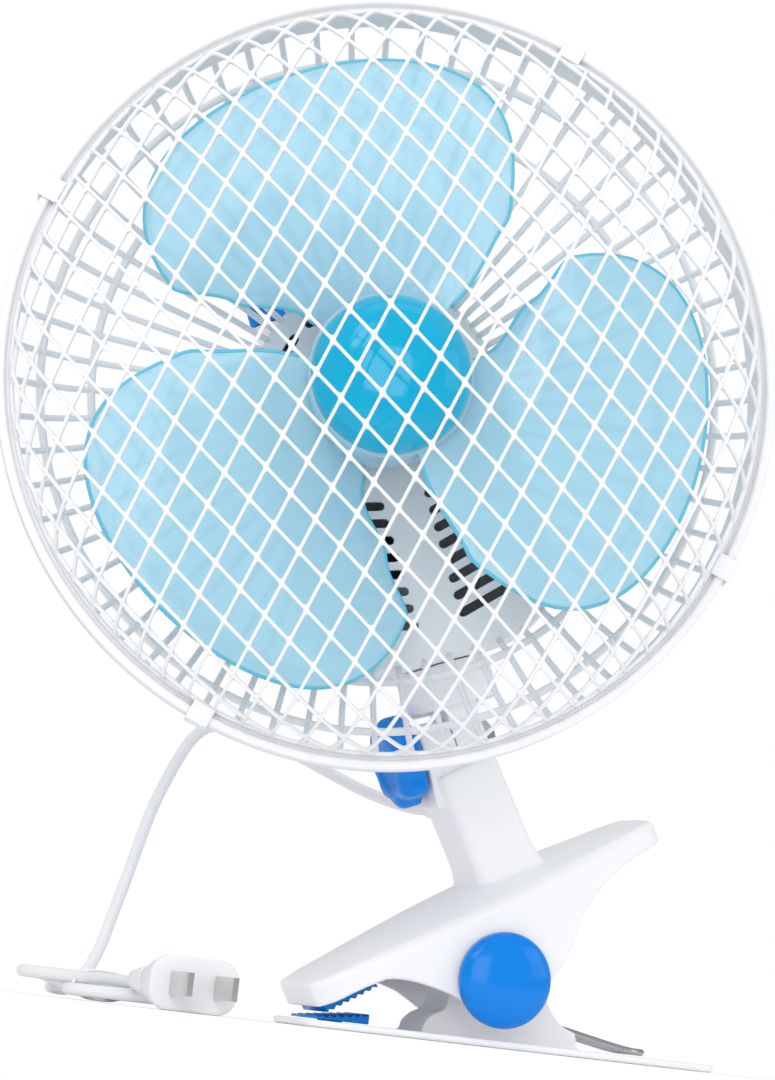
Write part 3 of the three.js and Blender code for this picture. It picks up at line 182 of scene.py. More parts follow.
def mesh_object(name, points, faces, place=WORLD, dissolve=False):
    mesh = bpy.data.meshes.new(name)
    mesh.from_pydata([place @ Vector(p) for p in points], [], faces)
    built = bmesh.new()
    built.from_mesh(mesh)
    bmesh.ops.remove_doubles(built, verts=built.verts, dist=1e-7)
    if dissolve:
        bmesh.ops.dissolve_degenerate(built, edges=built.edges, dist=1e-7)
    bmesh.ops.recalc_face_normals(built, faces=built.faces)
    built.to_mesh(mesh)
    built.free()
    thing = bpy.data.objects.new(name, mesh)
    bpy.context.scene.collection.objects.link(thing)
    return thing


def rings_data(rings, round_again=False, closed=True):
    """Skins rings of points: capped at both ends or running round again, each ring closed or open."""
    points = [p for ring in rings for p in ring]
    count = len(rings[0])
    faces = []
    steps = len(rings) if round_again else len(rings) - 1
    for i in range(steps):
        here, ahead = i * count, ((i + 1) % len(rings)) * count
        for j in range(count if closed else count - 1):
            k = (j + 1) % count
            faces.append((here + j, here + k, ahead + k, ahead + j))
    if not round_again:
        faces.append(tuple(range(count))[::-1])
        faces.append(tuple(range(len(points) - count, len(points))))
    return points, faces


def loft(name, rings, place=WORLD):
    return mesh_object(name, *rings_data(rings), place)


def lathe(name, profile, place, segments=128, closed=True):
    """Revolved about the local Y axis: pairs of radius and Y, open only if it starts and ends on the axis."""
    rings = [[(r * c, y, r * s) for r, y in profile] for c, s in circle(segments)]
    return mesh_object(name, *rings_data(rings, True, closed), place, dissolve=True)


def rounded(profile, radius, steps=4, sharp=()):
    """Rounds the corners of a closed profile, apart from those listed by index."""
    done = []
    count = len(profile)
    for i, corner in enumerate(profile):
        here = Vector(corner)
        before, after = Vector(profile[i - 1]) - here, Vector(profile[(i + 1) % count]) - here
        if i in sharp:
            done.append(tuple(here))
            continue
        reach = min(radius, before.length * 0.45, after.length * 0.45)
        start, end = here + before.normalized() * reach, here + after.normalized() * reach
        for k in range(steps + 1):
            t = k / steps
            done.append(tuple(start * (1 - t) ** 2 + here * 2 * t * (1 - t) + end * t * t))
    return done


def prism(name, outline, low, high, place=WORLD, along="y"):
    """An outline of (x, z) pairs pushed along Y, or of (x, y) pairs pushed along Z."""
    if along == "y":
        rings = [[(x, level, z) for x, z in outline] for level in (low, high)]
    else:
        rings = [[(x, y, level) for x, y in outline] for level in (low, high)]
    return loft(name, rings, place)


def rod(name, radius, start, end, place=WORLD, segments=48):
    start, end = Vector(start), Vector(end)
    along = (end - start).normalized()
    side = along.orthogonal().normalized()
    other = along.cross(side)
    rings = [[middle + radius * (c * side + s * other) for c, s in circle(segments)] for middle in (start, end)]
    return loft(name, rings, place)


def box(name, low, high, place=WORLD):
    (x0, y0, z0), (x1, y1, z1) = low, high
    outline = [(x0, z0), (x1, z0), (x1, z1), (x0, z1)]
    return prism(name, outline, y0, y1, place)


def bezier(start, middle, end, steps=12):
    """The points of a quadratic curve after its start."""
    start, middle, end = Vector(start), Vector(middle), Vector(end)
    shares = [i / steps for i in range(1, steps + 1)]
    return [tuple(start * (1 - t) ** 2 + middle * 2 * t * (1 - t) + end * t * t) for t in shares]


def arc(middle, radius, start, end, steps=24):
    made = []
    for i in range(steps + 1):
        angle = radians(start + (end - start) * i / steps)
        made.append((middle[0] + radius * cos(angle), middle[1] + radius * sin(angle)))
    return made


def settle(thing):
    """Applies the modifiers of a piece to its mesh."""
    bpy.context.view_layer.update()
    graph = bpy.context.evaluated_depsgraph_get()
    mesh = bpy.data.meshes.new_from_object(thing.evaluated_get(graph))
    thing.modifiers.clear()
    old = thing.data
    thing.data = mesh
    bpy.data.meshes.remove(old)
    return thing


def combine(operation, target, tools):
    for tool in tools:
        modifier = target.modifiers.new("solid", "BOOLEAN")
        modifier.operation = operation
        modifier.solver = "EXACT"
        modifier.object = tool
    settle(target)
    for tool in tools:
        mesh = tool.data
        bpy.data.objects.remove(tool)
        bpy.data.meshes.remove(mesh)


def cut(target, *tools):
    combine("DIFFERENCE", target, tools)


def join(target, *tools):
    combine("UNION", target, tools)


def keep(target, tool):
    combine("INTERSECT", target, [tool])


def soften(thing, voxel, smooth):
    """Re-skins a joined moulding evenly and eases its edges, as a mould's small radii do."""
    skin = thing.modifiers.new("skin", "REMESH")
    skin.mode = "VOXEL"
    skin.voxel_size = voxel * MM
    ease = thing.modifiers.new("ease", "SMOOTH")
    ease.factor = 0.5
    ease.iterations = smooth
    return settle(thing)


def bevel(thing, width, segments=3, angle=35):
    modifier = thing.modifiers.new("edges", "BEVEL")
    modifier.width = width * MM
    modifier.segments = segments
    modifier.limit_method = "ANGLE"
    modifier.angle_limit = radians(angle)
    return settle(thing)


def finish(thing, body, slot="white_plastic", stands_for=(), crease=None, material=None):
    thing.data.materials.clear()
    thing.data.materials.append(material or FINISH[slot])
    for face in thing.data.polygons:
        face.use_smooth = True
    if crease:
        thing.data.set_sharp_from_angle(angle=radians(crease))
    if body:
        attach(thing, body)
    if stands_for:
        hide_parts(*stands_for)
    return thing


def smooth_line(points, spacing):
    """A centripetal curve through the points, sampled evenly."""
    points = [Vector(p) for p in points]
    padded = [points[0] * 2 - points[1]] + points + [points[-1] * 2 - points[-2]]
    dense = []
    for i in range(1, len(padded) - 2):
        p0, p1, p2, p3 = padded[i - 1:i + 3]
        t0 = 0
        t1 = t0 + (p1 - p0).length ** 0.5
        t2 = t1 + (p2 - p1).length ** 0.5
        t3 = t2 + (p3 - p2).length ** 0.5
        for k in range(24):
            t = t1 + (t2 - t1) * k / 24
            a1 = p0 * ((t1 - t) / (t1 - t0)) + p1 * ((t - t0) / (t1 - t0))
            a2 = p1 * ((t2 - t) / (t2 - t1)) + p2 * ((t - t1) / (t2 - t1))
            a3 = p2 * ((t3 - t) / (t3 - t2)) + p3 * ((t - t2) / (t3 - t2))
            b1 = a1 * ((t2 - t) / (t2 - t0)) + a2 * ((t - t0) / (t2 - t0))
            b2 = a2 * ((t3 - t) / (t3 - t1)) + a3 * ((t - t1) / (t3 - t1))
            dense.append(b1 * ((t2 - t) / (t2 - t1)) + b2 * ((t - t1) / (t2 - t1)))
    dense.append(points[-1])
    return resample(dense, spacing)


def resample(points, spacing):
    lengths = [0.0]
    for a, b in zip(points, points[1:]):
        lengths.append(lengths[-1] + (b - a).length)
    count = max(2, round(lengths[-1] / spacing))
    even, i = [], 0
    for k in range(count + 1):
        want = lengths[-1] * k / count
        while i < len(points) - 2 and lengths[i + 1] < want:
            i += 1
        step = lengths[i + 1] - lengths[i] or 1
        even.append(points[i].lerp(points[i + 1], (want - lengths[i]) / step))
    return even


def sweep_data(line, section, normals=None):
    """Rings of a section (side, out) along a line; without normals the section turns as little as it can."""
    rings = []
    last = None
    for i, point in enumerate(line):
        ahead = (line[min(i + 1, len(line) - 1)] - line[max(i - 1, 0)]).normalized()
        out = normals[i] if normals else last or ahead.orthogonal()
        out = (out - ahead * out.dot(ahead)).normalized()
        side = ahead.cross(out)
        last = out
        rings.append([point + side * s + out * o for s, o in section])
    return rings_data(rings)


def round_section(radius, count):
    return [(radius * c, radius * s) for c, s in circle(count)]


def bar_section(width, depth, count=10, power=0.6):
    return [(width / 2 * copysign(abs(c) ** power, c), depth / 2 * copysign(abs(s) ** power, s))
            for c, s in circle(count)]


class Gathered:
    """Many swept bars that end up in one mesh."""

    def __init__(self):
        self.points, self.faces = [], []

    def add(self, data):
        points, faces = data
        start = len(self.points)
        self.points += points
        self.faces += [tuple(start + i for i in face) for face in faces]

    def build(self, name, place):
        return mesh_object(name, self.points, self.faces, place)


# ---------------- cord
CORD_RADIUS = 1.8
HANK_X, HANK_FAR, HANK_LENGTH = -129.0, 28.0, 84.0
HANK_FLOOR = 1.1
ROUTE = [
    (-16, 50, 71), (-26, 66, 75), (-45, 79, 84), (-63, 81, 90), (-78, 75, 88), (-93, 64, 66.5),
    (-104, 56, 34), (-112, 50, 12), (-121, 41, 3), (-128.6, 35, 2.9), (-129, 31, 2.9), (-129, 28, 2.9),
]
GLAND_ALONG, GLAND_UP, GLAND_START, GLAND_LENGTH = 21.4, 46.0, 12.4, 24.0


def ease(t):
    return (1 - cos(pi * min(1, max(0, t)))) / 2


def hank_line():
    """Five runs of cord between two lobes, one turn inside the other, gathered at the tie."""
    low, high = HANK_FLOOR + CORD_RADIUS, HANK_FLOOR + 3 * CORD_RADIUS + 0.15
    outer, inner = HANK_LENGTH / 2 - 27.3, HANK_LENGTH / 2 - 31.0
    lobe = HANK_LENGTH / 2 - outer - CORD_RADIUS
    gap = 2 * CORD_RADIUS + 0.06
    line = []

    def run(x0, z0, x1, z1, waist, waist_z, start, end):
        steps = 22
        for i in range(steps):
            t = i / steps
            y = start + (end - start) * t
            if t < 0.5:
                x, z = x0 + (waist - x0) * ease(2 * t), z0 + (waist_z - z0) * ease(2 * t)
            else:
                x, z = waist + (x1 - waist) * ease(2 * t - 1), waist_z + (z1 - waist_z) * ease(2 * t - 1)
            line.append(Vector((x, y, z)))

    def turn(radius, z, end):
        steps = 14
        for i in range(steps):
            angle = pi - pi * i / steps
            line.append(Vector((-end * radius * cos(angle), end * (lobe + radius * sin(angle)), z)))

    half = HANK_LENGTH / 2
    run(0, low, -inner, low, 0, low, half, -lobe)
    turn(inner, low, -1)
    run(inner, low, inner, high, gap, low, -lobe, lobe)
    turn(inner, high, 1)
    run(-inner, high, -outer, low, -gap, low, lobe, -lobe)
    turn(outer, low, -1)
    run(outer, low, outer, high, 2 * gap, low, -lobe, lobe)
    turn(outer, high, 1)
    run(-outer, high, 0, high, -gap, high, lobe, -half)
    line.append(Vector((0, -half, high + 0.5)))
    middle = Vector((HANK_X, HANK_FAR - half, 0))
    return [middle + p for p in line]


def make_cord():
    gland_end = JAW @ Vector((GLAND_ALONG, GLAND_START + GLAND_LENGTH + 0.3, GLAND_UP)) / MM
    free = smooth_line([gland_end] + ROUTE, 2.5)
    line = resample(free[:-1] + hank_line(), 2.2)
    points, faces = sweep_data(line, round_section(CORD_RADIUS, 14))
    cord = mesh_object("mains_cord", points, faces)
    length = sum((b - a).length for a, b in zip(line, line[1:])) * MM
    finish(cord, None, "cord_jacket", ("cord", "cord_hank"))
    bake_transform(cord)
    return cord, line, length, gland_end


cord, cord_line, cord_length, gland_end = make_cord()
print("cord length", round(cord_length, 3))


# ---------------- clip
FIT = 0.3
PLATE_FRONT, PLATE_BACK, PLATE_THICK = -64.5, 68.5, 2.2
PLATE_HALF, PLATE_END, PLATE_NOSE, LEAF_CORNER = 31, 17, 19, 7
JAW_HALF, JAW_END, JAW_TIP, JAW_NOSE, JAW_HANDLE, JAW_TOP, JAW_CROWN, JAW_WALL, JAW_SKIRT = (
    29, 16, 18, 51.5, 69, 21.5, 4.5, 2.3, 7.3)
LOBE = 12
PIN = 2.5
TOWER_HALF, TOWER_WALL, TOWER_TOP = 10.5, 2.2, 11
PIVOT_X, PIVOT_Z = pivot.x / MM, pivot.z / MM
NECK_ALONG, TILT_UP, NECK_X, NECK_Y, NECK_CORNER = 21.4, 65.6, 10, 12.4, 3.2
LUG, TONGUE, LUG_THICK = 9.4, 10.6, 10.2
BOLT_BORE, WIRE_BORE, GLAND_BORE = 3.3, 4, 3.9
PAD_HALF, PAD_STUD, STUD_BORE = 11, 3.7, 4


def leaf_outline():
    nose, tail = PLATE_FRONT, PLATE_BACK
    third = (tail - nose) / 4
    c = LEAF_CORNER
    side = [(nose, -PLATE_NOSE + c)]
    side += bezier(side[-1], (nose, -PLATE_NOSE), (nose + c, -PLATE_NOSE - c / 4), steps=8)
    side += bezier(side[-1], (-third, -PLATE_HALF), (0, -PLATE_HALF), steps=20)
    side += bezier(side[-1], (third, -PLATE_HALF), (tail - c, -PLATE_END), steps=20)
    side += bezier(side[-1], (tail, -PLATE_END), (tail, -PLATE_END + c), steps=8)
    return side + [(x, -y) for x, y in reversed(side)]


def tower_outline(inset, top):
    x, r = PIVOT_X, TOWER_TOP - inset
    line = [(x - 17 + inset, top)]
    line += bezier(line[-1], (x - 17 + inset, 7), (x - 11.5 + inset, 9))
    line += bezier(line[-1], (x - 8 + inset, 11), (x - TOWER_TOP + inset, PIVOT_Z))
    line += arc((x, PIVOT_Z), r, 180, 18)[1:]
    line.append((x + 21.5, 16.5))
    line += bezier(line[-1], (x + 25.5, 8.2), (x + 32.2, 7.2))
    line.append((x + 33.5, top))
    return line


def make_lower_jaw():
    plate = prism("base_plate_moulding", leaf_outline(), 0, PLATE_THICK, along="z")
    bevel(plate, 0.7)
    inside = TOWER_HALF - TOWER_WALL
    tower = prism("tower", tower_outline(0, 1.6), -TOWER_HALF, TOWER_HALF)
    cutters = [
        prism("cut", tower_outline(TOWER_WALL, PLATE_THICK), -inside, inside),
        box("cut", (PIVOT_X - 2, -inside, PLATE_THICK), (PLATE_BACK, inside, 40)),
        box("cut", (PIVOT_X - 20, -inside, PIVOT_Z - 2), (PIVOT_X + 20, inside, 40)),
        rod("cut", PIN + FIT, (PIVOT_X, -40, PIVOT_Z), (PIVOT_X, 40, PIVOT_Z)),
    ]
    cut(tower, *cutters)
    join(plate, tower)
    pad_low, pad_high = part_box("lower_pad")
    middle = (pad_low.x + pad_high.x) / 2 / MM
    cut(plate, rod("cut", STUD_BORE, (middle, 0, -1), (middle, 0, 4)))
    soften(plate, 0.5, 3)
    return finish(plate, "base", "white_plastic", ("lower_jaw",))


def jaw_half(share):
    peak = 0.47
    end = JAW_TIP if share < peak else JAW_END
    away = abs(share - peak) / (peak if share < peak else 1 - peak)
    return JAW_HALF - (JAW_HALF - end) * away ** 1.6


def jaw_rings(inset):
    sections, arch = 72, 28
    rings = []
    for i in range(sections + 1):
        share = (1 - cos(pi * i / sections)) / 2
        along = -JAW_NOSE + inset + (JAW_NOSE + JAW_HANDLE - 2 * inset) * share
        near_end = min(share, 1 - share) * (JAW_NOSE + JAW_HANDLE)
        ends = 0.72 + 0.28 * sqrt(max(0, 1 - (1 - min(1, near_end / 9)) ** 2))
        half = jaw_half(share) * ends - inset
        crown = JAW_CROWN * sin(pi * share)
        ring = [(along, -half, -LOBE - 8)]
        for j in range(arch + 1):
            v = -1 + 2 * j / arch
            edge = 1.1 * max(0, (abs(v) - 0.9) / 0.1) ** 2
            ring.append((along, v * half, JAW_TOP - inset + crown * (1 - v * v) - edge))
        ring.append((along, half, -LOBE - 8))
        rings.append(ring)
    return rings


def jaw_side():
    skirt = JAW_TOP - JAW_SKIRT
    line = [(-JAW_NOSE - 6, JAW_TOP + 20), (-JAW_NOSE - 6, skirt), (-JAW_NOSE + 4.5, skirt - 0.3)]
    line += bezier(line[-1], (-38, skirt + 0.6), (-31, skirt))
    line += bezier(line[-1], (-24, skirt - 2.5), (-14.5, 1))
    line += bezier(line[-1], (-11.5, -4), (-LOBE * 0.8, -LOBE * 0.6))
    line += arc((0, 0), LOBE, -143, -40)[1:]
    line += bezier(line[-1], (20, -6), (27.5, 2.4))
    line += bezier(line[-1], (37, 12), (55, skirt))
    return line + [(JAW_HANDLE + 6, skirt + 0.5), (JAW_HANDLE + 6, JAW_TOP + 20)]


def rounded_ring(half_x, half_y, corner, z, middle_x=0.0, steps=10):
    ring = []
    for quarter, (sx, sy) in enumerate(((1, 1), (-1, 1), (-1, -1), (1, -1))):
        for j in range(steps + 1):
            angle = (quarter + j / steps) * pi / 2
            ring.append((middle_x + sx * (half_x - corner) + corner * cos(angle),
                         sy * (half_y - corner) + corner * sin(angle), z))
    return ring


def make_upper_jaw():
    shell = loft("jaw_and_neck_moulding", jaw_rings(0), JAW)
    cut(shell, loft("cut", jaw_rings(JAW_WALL), JAW))
    keep(shell, prism("keep", jaw_side(), -40, 40, JAW))
    foot, shoulder = JAW_TOP + 1, TILT_UP - 5.4
    levels = [
        (2.4, 2.2, 1.5, foot), (1.6, 1.5, 1.1, foot + 2), (0.7, 0.7, 0.5, foot + 4.5), (0.1, 0.1, 0.1, foot + 8),
        (0, 0, 0, foot + 12), (0, 0, 0, shoulder - 5), (0.2, -0.4, 0, shoulder - 2), (0.2, -1, 0, shoulder),
    ]
    neck = loft("neck", [rounded_ring(NECK_X + dx, NECK_Y + dy, NECK_CORNER + dc, z, NECK_ALONG)
                         for dx, dy, dc, z in levels], JAW)
    tongue = rod("tongue", LUG, (-TONGUE, 0, 0), (0, 0, 0), FORK)
    stem = box("stem", (-TONGUE, -LUG, -16), (0, LUG, 0), FORK)
    inner, outer = TOWER_HALF + FIT, JAW_HALF - 1
    bosses = [rod("boss", 5.2, (0, side * inner, 0), (0, side * outer, 0), JAW) for side in (-1, 1)]
    join(shell, neck, tongue, stem, *bosses)
    cutters = [
        rod("cut", PIN + FIT, (0, -40, 0), (0, 40, 0), JAW),
        rod("cut", LUG + 0.4, (0, 0, 0), (LUG_THICK + 6, 0, 0), FORK),
        rod("cut", BOLT_BORE, (-30, 0, 0), (6, 0, 0), FORK),
        rod("cut", GLAND_BORE, (GLAND_ALONG, 0, GLAND_UP), (GLAND_ALONG, 30, GLAND_UP), JAW),
        rod("cut", WIRE_BORE, (NECK_ALONG, 0, JAW_TOP - 6), (NECK_ALONG, 0, GLAND_UP + 6), JAW),
    ]
    cut(shell, *cutters)
    soften(shell, 0.55, 5)
    return finish(shell, "jaw", "white_plastic", ("upper_jaw",))


def dome_profile(radius, height, steps, edge):
    made = [(radius, 0), (radius, edge)]
    for i in range(1, steps):
        angle = pi / 2 * i / steps
        made.append((radius * cos(angle), edge + (height - edge) * sin(angle)))
    return made + [(0, height)]


def make_pivot_caps():
    seat = JAW_HALF + FIT
    for side, name, radius in ((-1, "pivot_cap_near", 14.3), (1, "pivot_cap_far", 10.5)):
        profile = [(0, 3.2), (PIN + FIT, 3.2), (PIN + FIT, 0)] + dome_profile(radius, 6.6, 28, 1.4)
        placed = [(r, side * (seat + y)) for r, y in profile]
        cap = lathe(name + "_dome", placed, JAW, closed=False)
        finish(cap, "jaw", "blue_plastic", (name,), crease=50)


def make_gland():
    place = JAW @ Matrix.Translation((GLAND_ALONG, GLAND_START, GLAND_UP))
    profile = [(2.0, -6), (3.6, -6), (3.6, 0.4), (4.8, 0.4), (4.8, 2.4), (3.7, 2.6)]
    for i in range(6):
        y = 3.4 + i * 3.4
        r = 3.6 - 0.9 * i / 6
        profile += [(r, y), (r, y + 1.9), (r - 0.55, y + 2.2), (r - 0.6, y + 3.1)]
    profile += [(2.7, 23.6), (2.55, GLAND_LENGTH), (2.0, GLAND_LENGTH)]
    gland = lathe("strain_relief", profile, place, segments=48)
    finish(gland, "jaw", "white_plastic", ("cord_gland",), crease=40)


def pad_profile(length, front, back, pitch=2.5, tooth=0.9):
    """Side of a serrated wedge: flat at z = 0, rounded teeth above."""
    count = round(length / pitch)
    step = length / count
    line = [(0.0, 0.0), (0.0, front - 0.3), (0.4, front)]
    for i in range(count):
        rise = front + (back - front) * (i + 1) / count
        line += [(step * (i + 0.45), rise - tooth), (step * (i + 0.6), rise - tooth), (step * (i + 0.9), rise),
                 (step * (i + 1) - 0.05, rise)]
    return line + [(length, back - 0.4), (length, 0.0)]


def make_pads():
    nose = PLATE_FRONT + 4.5
    place = WORLD @ Matrix.Translation((nose, 0, PLATE_THICK + FIT))
    lower = prism("lower_grip", pad_profile(17, 0.9, 3), -PAD_HALF, PAD_HALF, place)
    stud = rod("stud", PAD_STUD, (nose + 8.5, 0, 0.3), (nose + 8.5, 0, PLATE_THICK + 1))
    join(lower, stud)
    bevel(lower, 0.25, 2, 50)
    finish(lower, "base", "blue_plastic", ("lower_pad",), crease=35)
    under, start = JAW_TOP - JAW_WALL - FIT, -JAW_NOSE + JAW_WALL + 2.4 * FIT
    turned = JAW @ Matrix.Translation((start, 0, under)) @ Matrix.Rotation(pi, 4, "X")
    upper = prism("upper_grip", pad_profile(17.5, 8, 7.6), -PAD_HALF, PAD_HALF, turned)
    stud = rod("stud", PAD_STUD, (start + 8.75, 0, under - 2), (start + 8.75, 0, under + 0.2), JAW)
    join(upper, stud)
    bevel(upper, 0.25, 2, 50)
    finish(upper, "jaw", "blue_plastic", ("upper_pad",), crease=35)


def make_spring():
    """Double torsion spring, one fixed piece attached to no body: on the real clip the handle legs turn with the
    jaw and the looped leg stays on the plate.
    """
    coil, wire, reach, inner, outer, leg = 6.6, 1.05, 42, 1.9, 6.9, 49
    lift = radians(47)
    begin = lift + pi / 2
    sweep = 1.5 * pi - radians(10) - begin + 2 * TAU
    half = []
    for share in (1, 0.66, 0.33):
        half.append(Vector((PIVOT_X + coil * cos(begin) + leg * share * cos(lift), inner,
                            PIVOT_Z + coil * sin(begin) + leg * share * sin(lift))))
    for i in range(73):
        angle = begin + sweep * i / 72
        half.append(Vector((PIVOT_X + coil * cos(angle), inner + (outer - inner) * i / 72,
                            PIVOT_Z + coil * sin(angle))))
    end = half[-1]
    low = PLATE_THICK + FIT + wire + 0.1
    for x in (end.x + 14, end.x + 30, reach - 4):
        half.append(Vector((x, outer, end.z + (low - end.z) * (x - end.x) / (reach - end.x))))
    loop = []
    for i in range(1, 12):
        angle = radians(90 - 15 * i)
        loop.append(Vector((reach + outer * cos(angle), outer * sin(angle), low)))
    other = [Vector((p.x, -p.y, p.z)) for p in reversed(half)]
    line = smooth_line(half + loop + other, 0.7)
    spring = mesh_object("torsion_spring", *sweep_data(line, round_section(wire, 12)))
    finish(spring, None, "steel", ("clip_spring",))
    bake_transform(spring)


make_lower_jaw()
make_upper_jaw()
make_pads()
make_spring()
make_pivot_caps()
make_gland()


# ---------------- tilt joint
KNOB_RADIUS, KNOB_LOBES = 14, 8
KNOB_FACE = -TONGUE - FIT - 1 - FIT


def make_tilt_knob():
    levels = [(0.94, 0), (0.985, 0.4), (1, 1), (1, 5), (0.985, 6.1), (0.94, 7.1), (0.87, 7.9), (0.78, 8.4),
              (0.6, 8.5), (0.55, 8.3), (0.5, 7.6), (0.46, 7.4), (0.2, 7.4), (0.02, 7.4)]
    rings = []
    for scale, depth in levels:
        ring = []
        for i in range(KNOB_LOBES * 16):
            angle = TAU * i / (KNOB_LOBES * 16)
            wave = 0.9 * min(1, max(0, (scale - 0.5) / 0.4)) * (cos(KNOB_LOBES * angle) - 1)
            radius = (KNOB_RADIUS + wave) * scale
            ring.append((KNOB_FACE - depth, radius * sin(angle), radius * cos(angle)))
        rings.append(ring)
    knob = loft("thumb_knob", rings, FORK)
    finish(knob, "tilt_nut", "blue_plastic", ("tilt_knob",), crease=45)


def make_bracket():
    table_top, post_x = 24.7, 5.5
    bracket = rod("swivel_moulding", LUG, (FIT, 0, 0), (LUG_THICK, 0, 0), TILT, 96)
    web = box("web", (FIT, -LUG + 1.5, 0), (LUG_THICK, LUG - 1.5, table_top - 3), TILT)
    table = rod("table", 14.5, (post_x, 0, LUG + 2.4), (post_x, 0, table_top), TILT, 96)
    post = rod("post", 7, (post_x, 0, table_top - 1), (post_x, 0, 51), TILT, 64)
    join(bracket, web, table, post)
    cut(bracket, rod("cut", BOLT_BORE, (-5, 0, 0), (30, 0, 0), TILT),
                      rod("cut", 3.5, (post_x, 0, LUG + 1), (post_x, 0, 60), TILT))
    soften(bracket, 0.4, 4)
    finish(bracket, "bracket", "white_plastic", ("swivel_bracket",))


make_tilt_knob()
make_bracket()


# ---------------- guard
RIM_RADIUS, RIM_FRONT, RIM_WALL, FLANGE, BAND_RADIUS, BAND_WALL, BAND_DEPTH = 113.7, 6, 5.4, 3, 111.9, 2, 13
NET_DEPTH, NET_SQUARE, NET_SIDE = 38, 0.77, 10.2
NET_ANGLE, NET_TURN = radians(71), radians(82)
STRAND_WIDTH, STRAND_THICK = 1.0, 1.3
RIB_COUNT, RIB_WIDTH, RIB_THICK = 64, 1.9, 2.4
INNER_RING, OUTER_RING, BOWL = 85, 100.3, 36

dome = [(0.0, -float(NET_DEPTH), 0.0)]
DOME_RADIUS = RIM_RADIUS - RIM_WALL + 0.8
for degree in range(1, 91):
    turn_angle = radians(degree)
    r = DOME_RADIUS * sin(turn_angle) ** NET_SQUARE
    y = 0.0 if degree == 90 else -NET_DEPTH * cos(turn_angle) ** NET_SQUARE
    dome.append((r, y, dome[-1][2] + hypot(r - dome[-1][0], y - dome[-1][1])))
DOME_LENGTH = dome[-1][2]


def dome_place(x, z):
    """Point and outward normal on the front dome for a point of the flat net."""
    along = min(hypot(x, z), DOME_LENGTH - 1e-6)
    angle = atan2(z, x)
    i = next(k for k in range(1, 91) if dome[k][2] >= along)
    (r0, y0, s0), (r1, y1, s1) = dome[i - 1], dome[i]
    t = (along - s0) / (s1 - s0)
    radius, y = r0 + (r1 - r0) * t, y0 + (y1 - y0) * t
    slope = Vector((r1 - r0, y1 - y0)).normalized()
    normal = Vector((slope.y * cos(angle), -slope.x, slope.y * sin(angle)))
    return Vector((radius * cos(angle), y, radius * sin(angle))), normal


def crossing_fillet(middle, first, second):
    """The web that rounds the four corners where two strands cross."""
    corner = STRAND_WIDTH / 2 / sin(NET_ANGLE)
    flat = []
    sides = (first, second, 1.3), (second, -first, 0.8), (-first, -second, 1.3), (-second, first, 0.8)
    for a, b, reach in sides:
        inner = middle + (a + b) * corner
        start = inner + a * reach
        flat.append(start)
        flat += [Vector(p) for p in bezier(start, inner, inner + b * reach, steps=4)]
    rings = []
    for lift in (-0.5, 0.5):
        placed = [dome_place(p.x, p.y) for p in flat]
        rings.append([place + normal * lift for place, normal in placed])
    return rings_data(rings)


def make_front_guard():
    net = Gathered()
    section = bar_section(STRAND_WIDTH, STRAND_THICK)
    first, second = (Vector((cos(a), sin(a))) for a in (NET_TURN - NET_ANGLE / 2, NET_TURN + NET_ANGLE / 2))
    limit = DOME_LENGTH - 3.0
    for along, across in ((first, second), (second, first)):
        for k in range(-20, 21):
            base = across * (k * NET_SIDE)
            middle = -base.dot(along)
            off = (base + along * middle).length
            if off >= limit:
                continue
            half = sqrt(limit ** 2 - off ** 2)
            steps = max(4, round(2 * half / 2.4))
            placed = []
            for i in range(steps + 1):
                spot = base + along * (middle - half + 2 * half * i / steps)
                placed.append(dome_place(spot.x, spot.y))
            net.add(sweep_data([p for p, _ in placed], section, [n for _, n in placed]))
    for i in range(-20, 21):
        for j in range(-20, 21):
            crossing = (first * i + second * j) * NET_SIDE
            if crossing.length < limit - 2:
                net.add(crossing_fillet(crossing, first, second))
    strands = net.build("front_net", HEAD)
    finish(strands, "head")
    inner = RIM_RADIUS - RIM_WALL
    front = -RIM_FRONT
    profile = [(inner, -0.15), (RIM_RADIUS, -0.15), (RIM_RADIUS, front), (inner + 2.8, front),
               (inner + 2.3, front + 2.6), (inner + 1.5, front + 2.6), (inner + 1.2, front + 0.5),
               (inner, front + 0.9)]
    rim = lathe("front_rim", rounded(profile, 0.9, sharp=(0, 1)), HEAD, 220)
    finish(rim, "head", "white_plastic", ("front_guard",), crease=50)


SHIELD_RADIUS, SHIELD_BOTTOM, SHIELD_HIP, SHIELD_THICK, SHIELD_SKIRT, COVER_WALL = 37.5, 80, 38, 2.2, 8, 2.2
SHIELD_BACK = BOWL + SHIELD_THICK
COVER_FRONT, COVER_DEPTH = SHIELD_BACK + SHIELD_SKIRT + FIT, 50
CLUTCH_X, CLUTCH_Y, KNOB_SEAT = -19.5, 79.5, 37


def shield_outline(inset, steps=16):
    radius, hip, bottom = SHIELD_RADIUS - inset, SHIELD_HIP - inset, -SHIELD_BOTTOM + inset
    line = arc((0, 0), radius, 0, 180, 3 * steps)
    line += bezier(line[-1], (-radius + 0.5, -30), (-hip, -58), steps=steps)
    line += bezier(line[-1], (-hip + 2.5, bottom), (-hip / 2.6, bottom), steps=steps)
    line.append((hip / 2.6, bottom))
    line += bezier(line[-1], (hip - 2.5, bottom), (hip, -58), steps=steps)
    return line + bezier(line[-1], (radius - 0.5, -30), (radius, 0), steps=steps)[:-1]


def shield_reach(angle):
    """Distance from the fan axis to the shield's edge."""
    ray = Vector((cos(angle), sin(angle)))
    edge = [Vector(p) for p in shield_outline(0)]
    for a, b in zip(edge, edge[1:] + edge[:1]):
        side = b - a
        spread = ray.x * side.y - ray.y * side.x
        if abs(spread) < 1e-9:
            continue
        along = (a.x * side.y - a.y * side.x) / spread
        share = (a.x * ray.y - a.y * ray.x) / spread
        if along > 0 and -1e-6 <= share <= 1.000001:
            return along
    return SHIELD_RADIUS


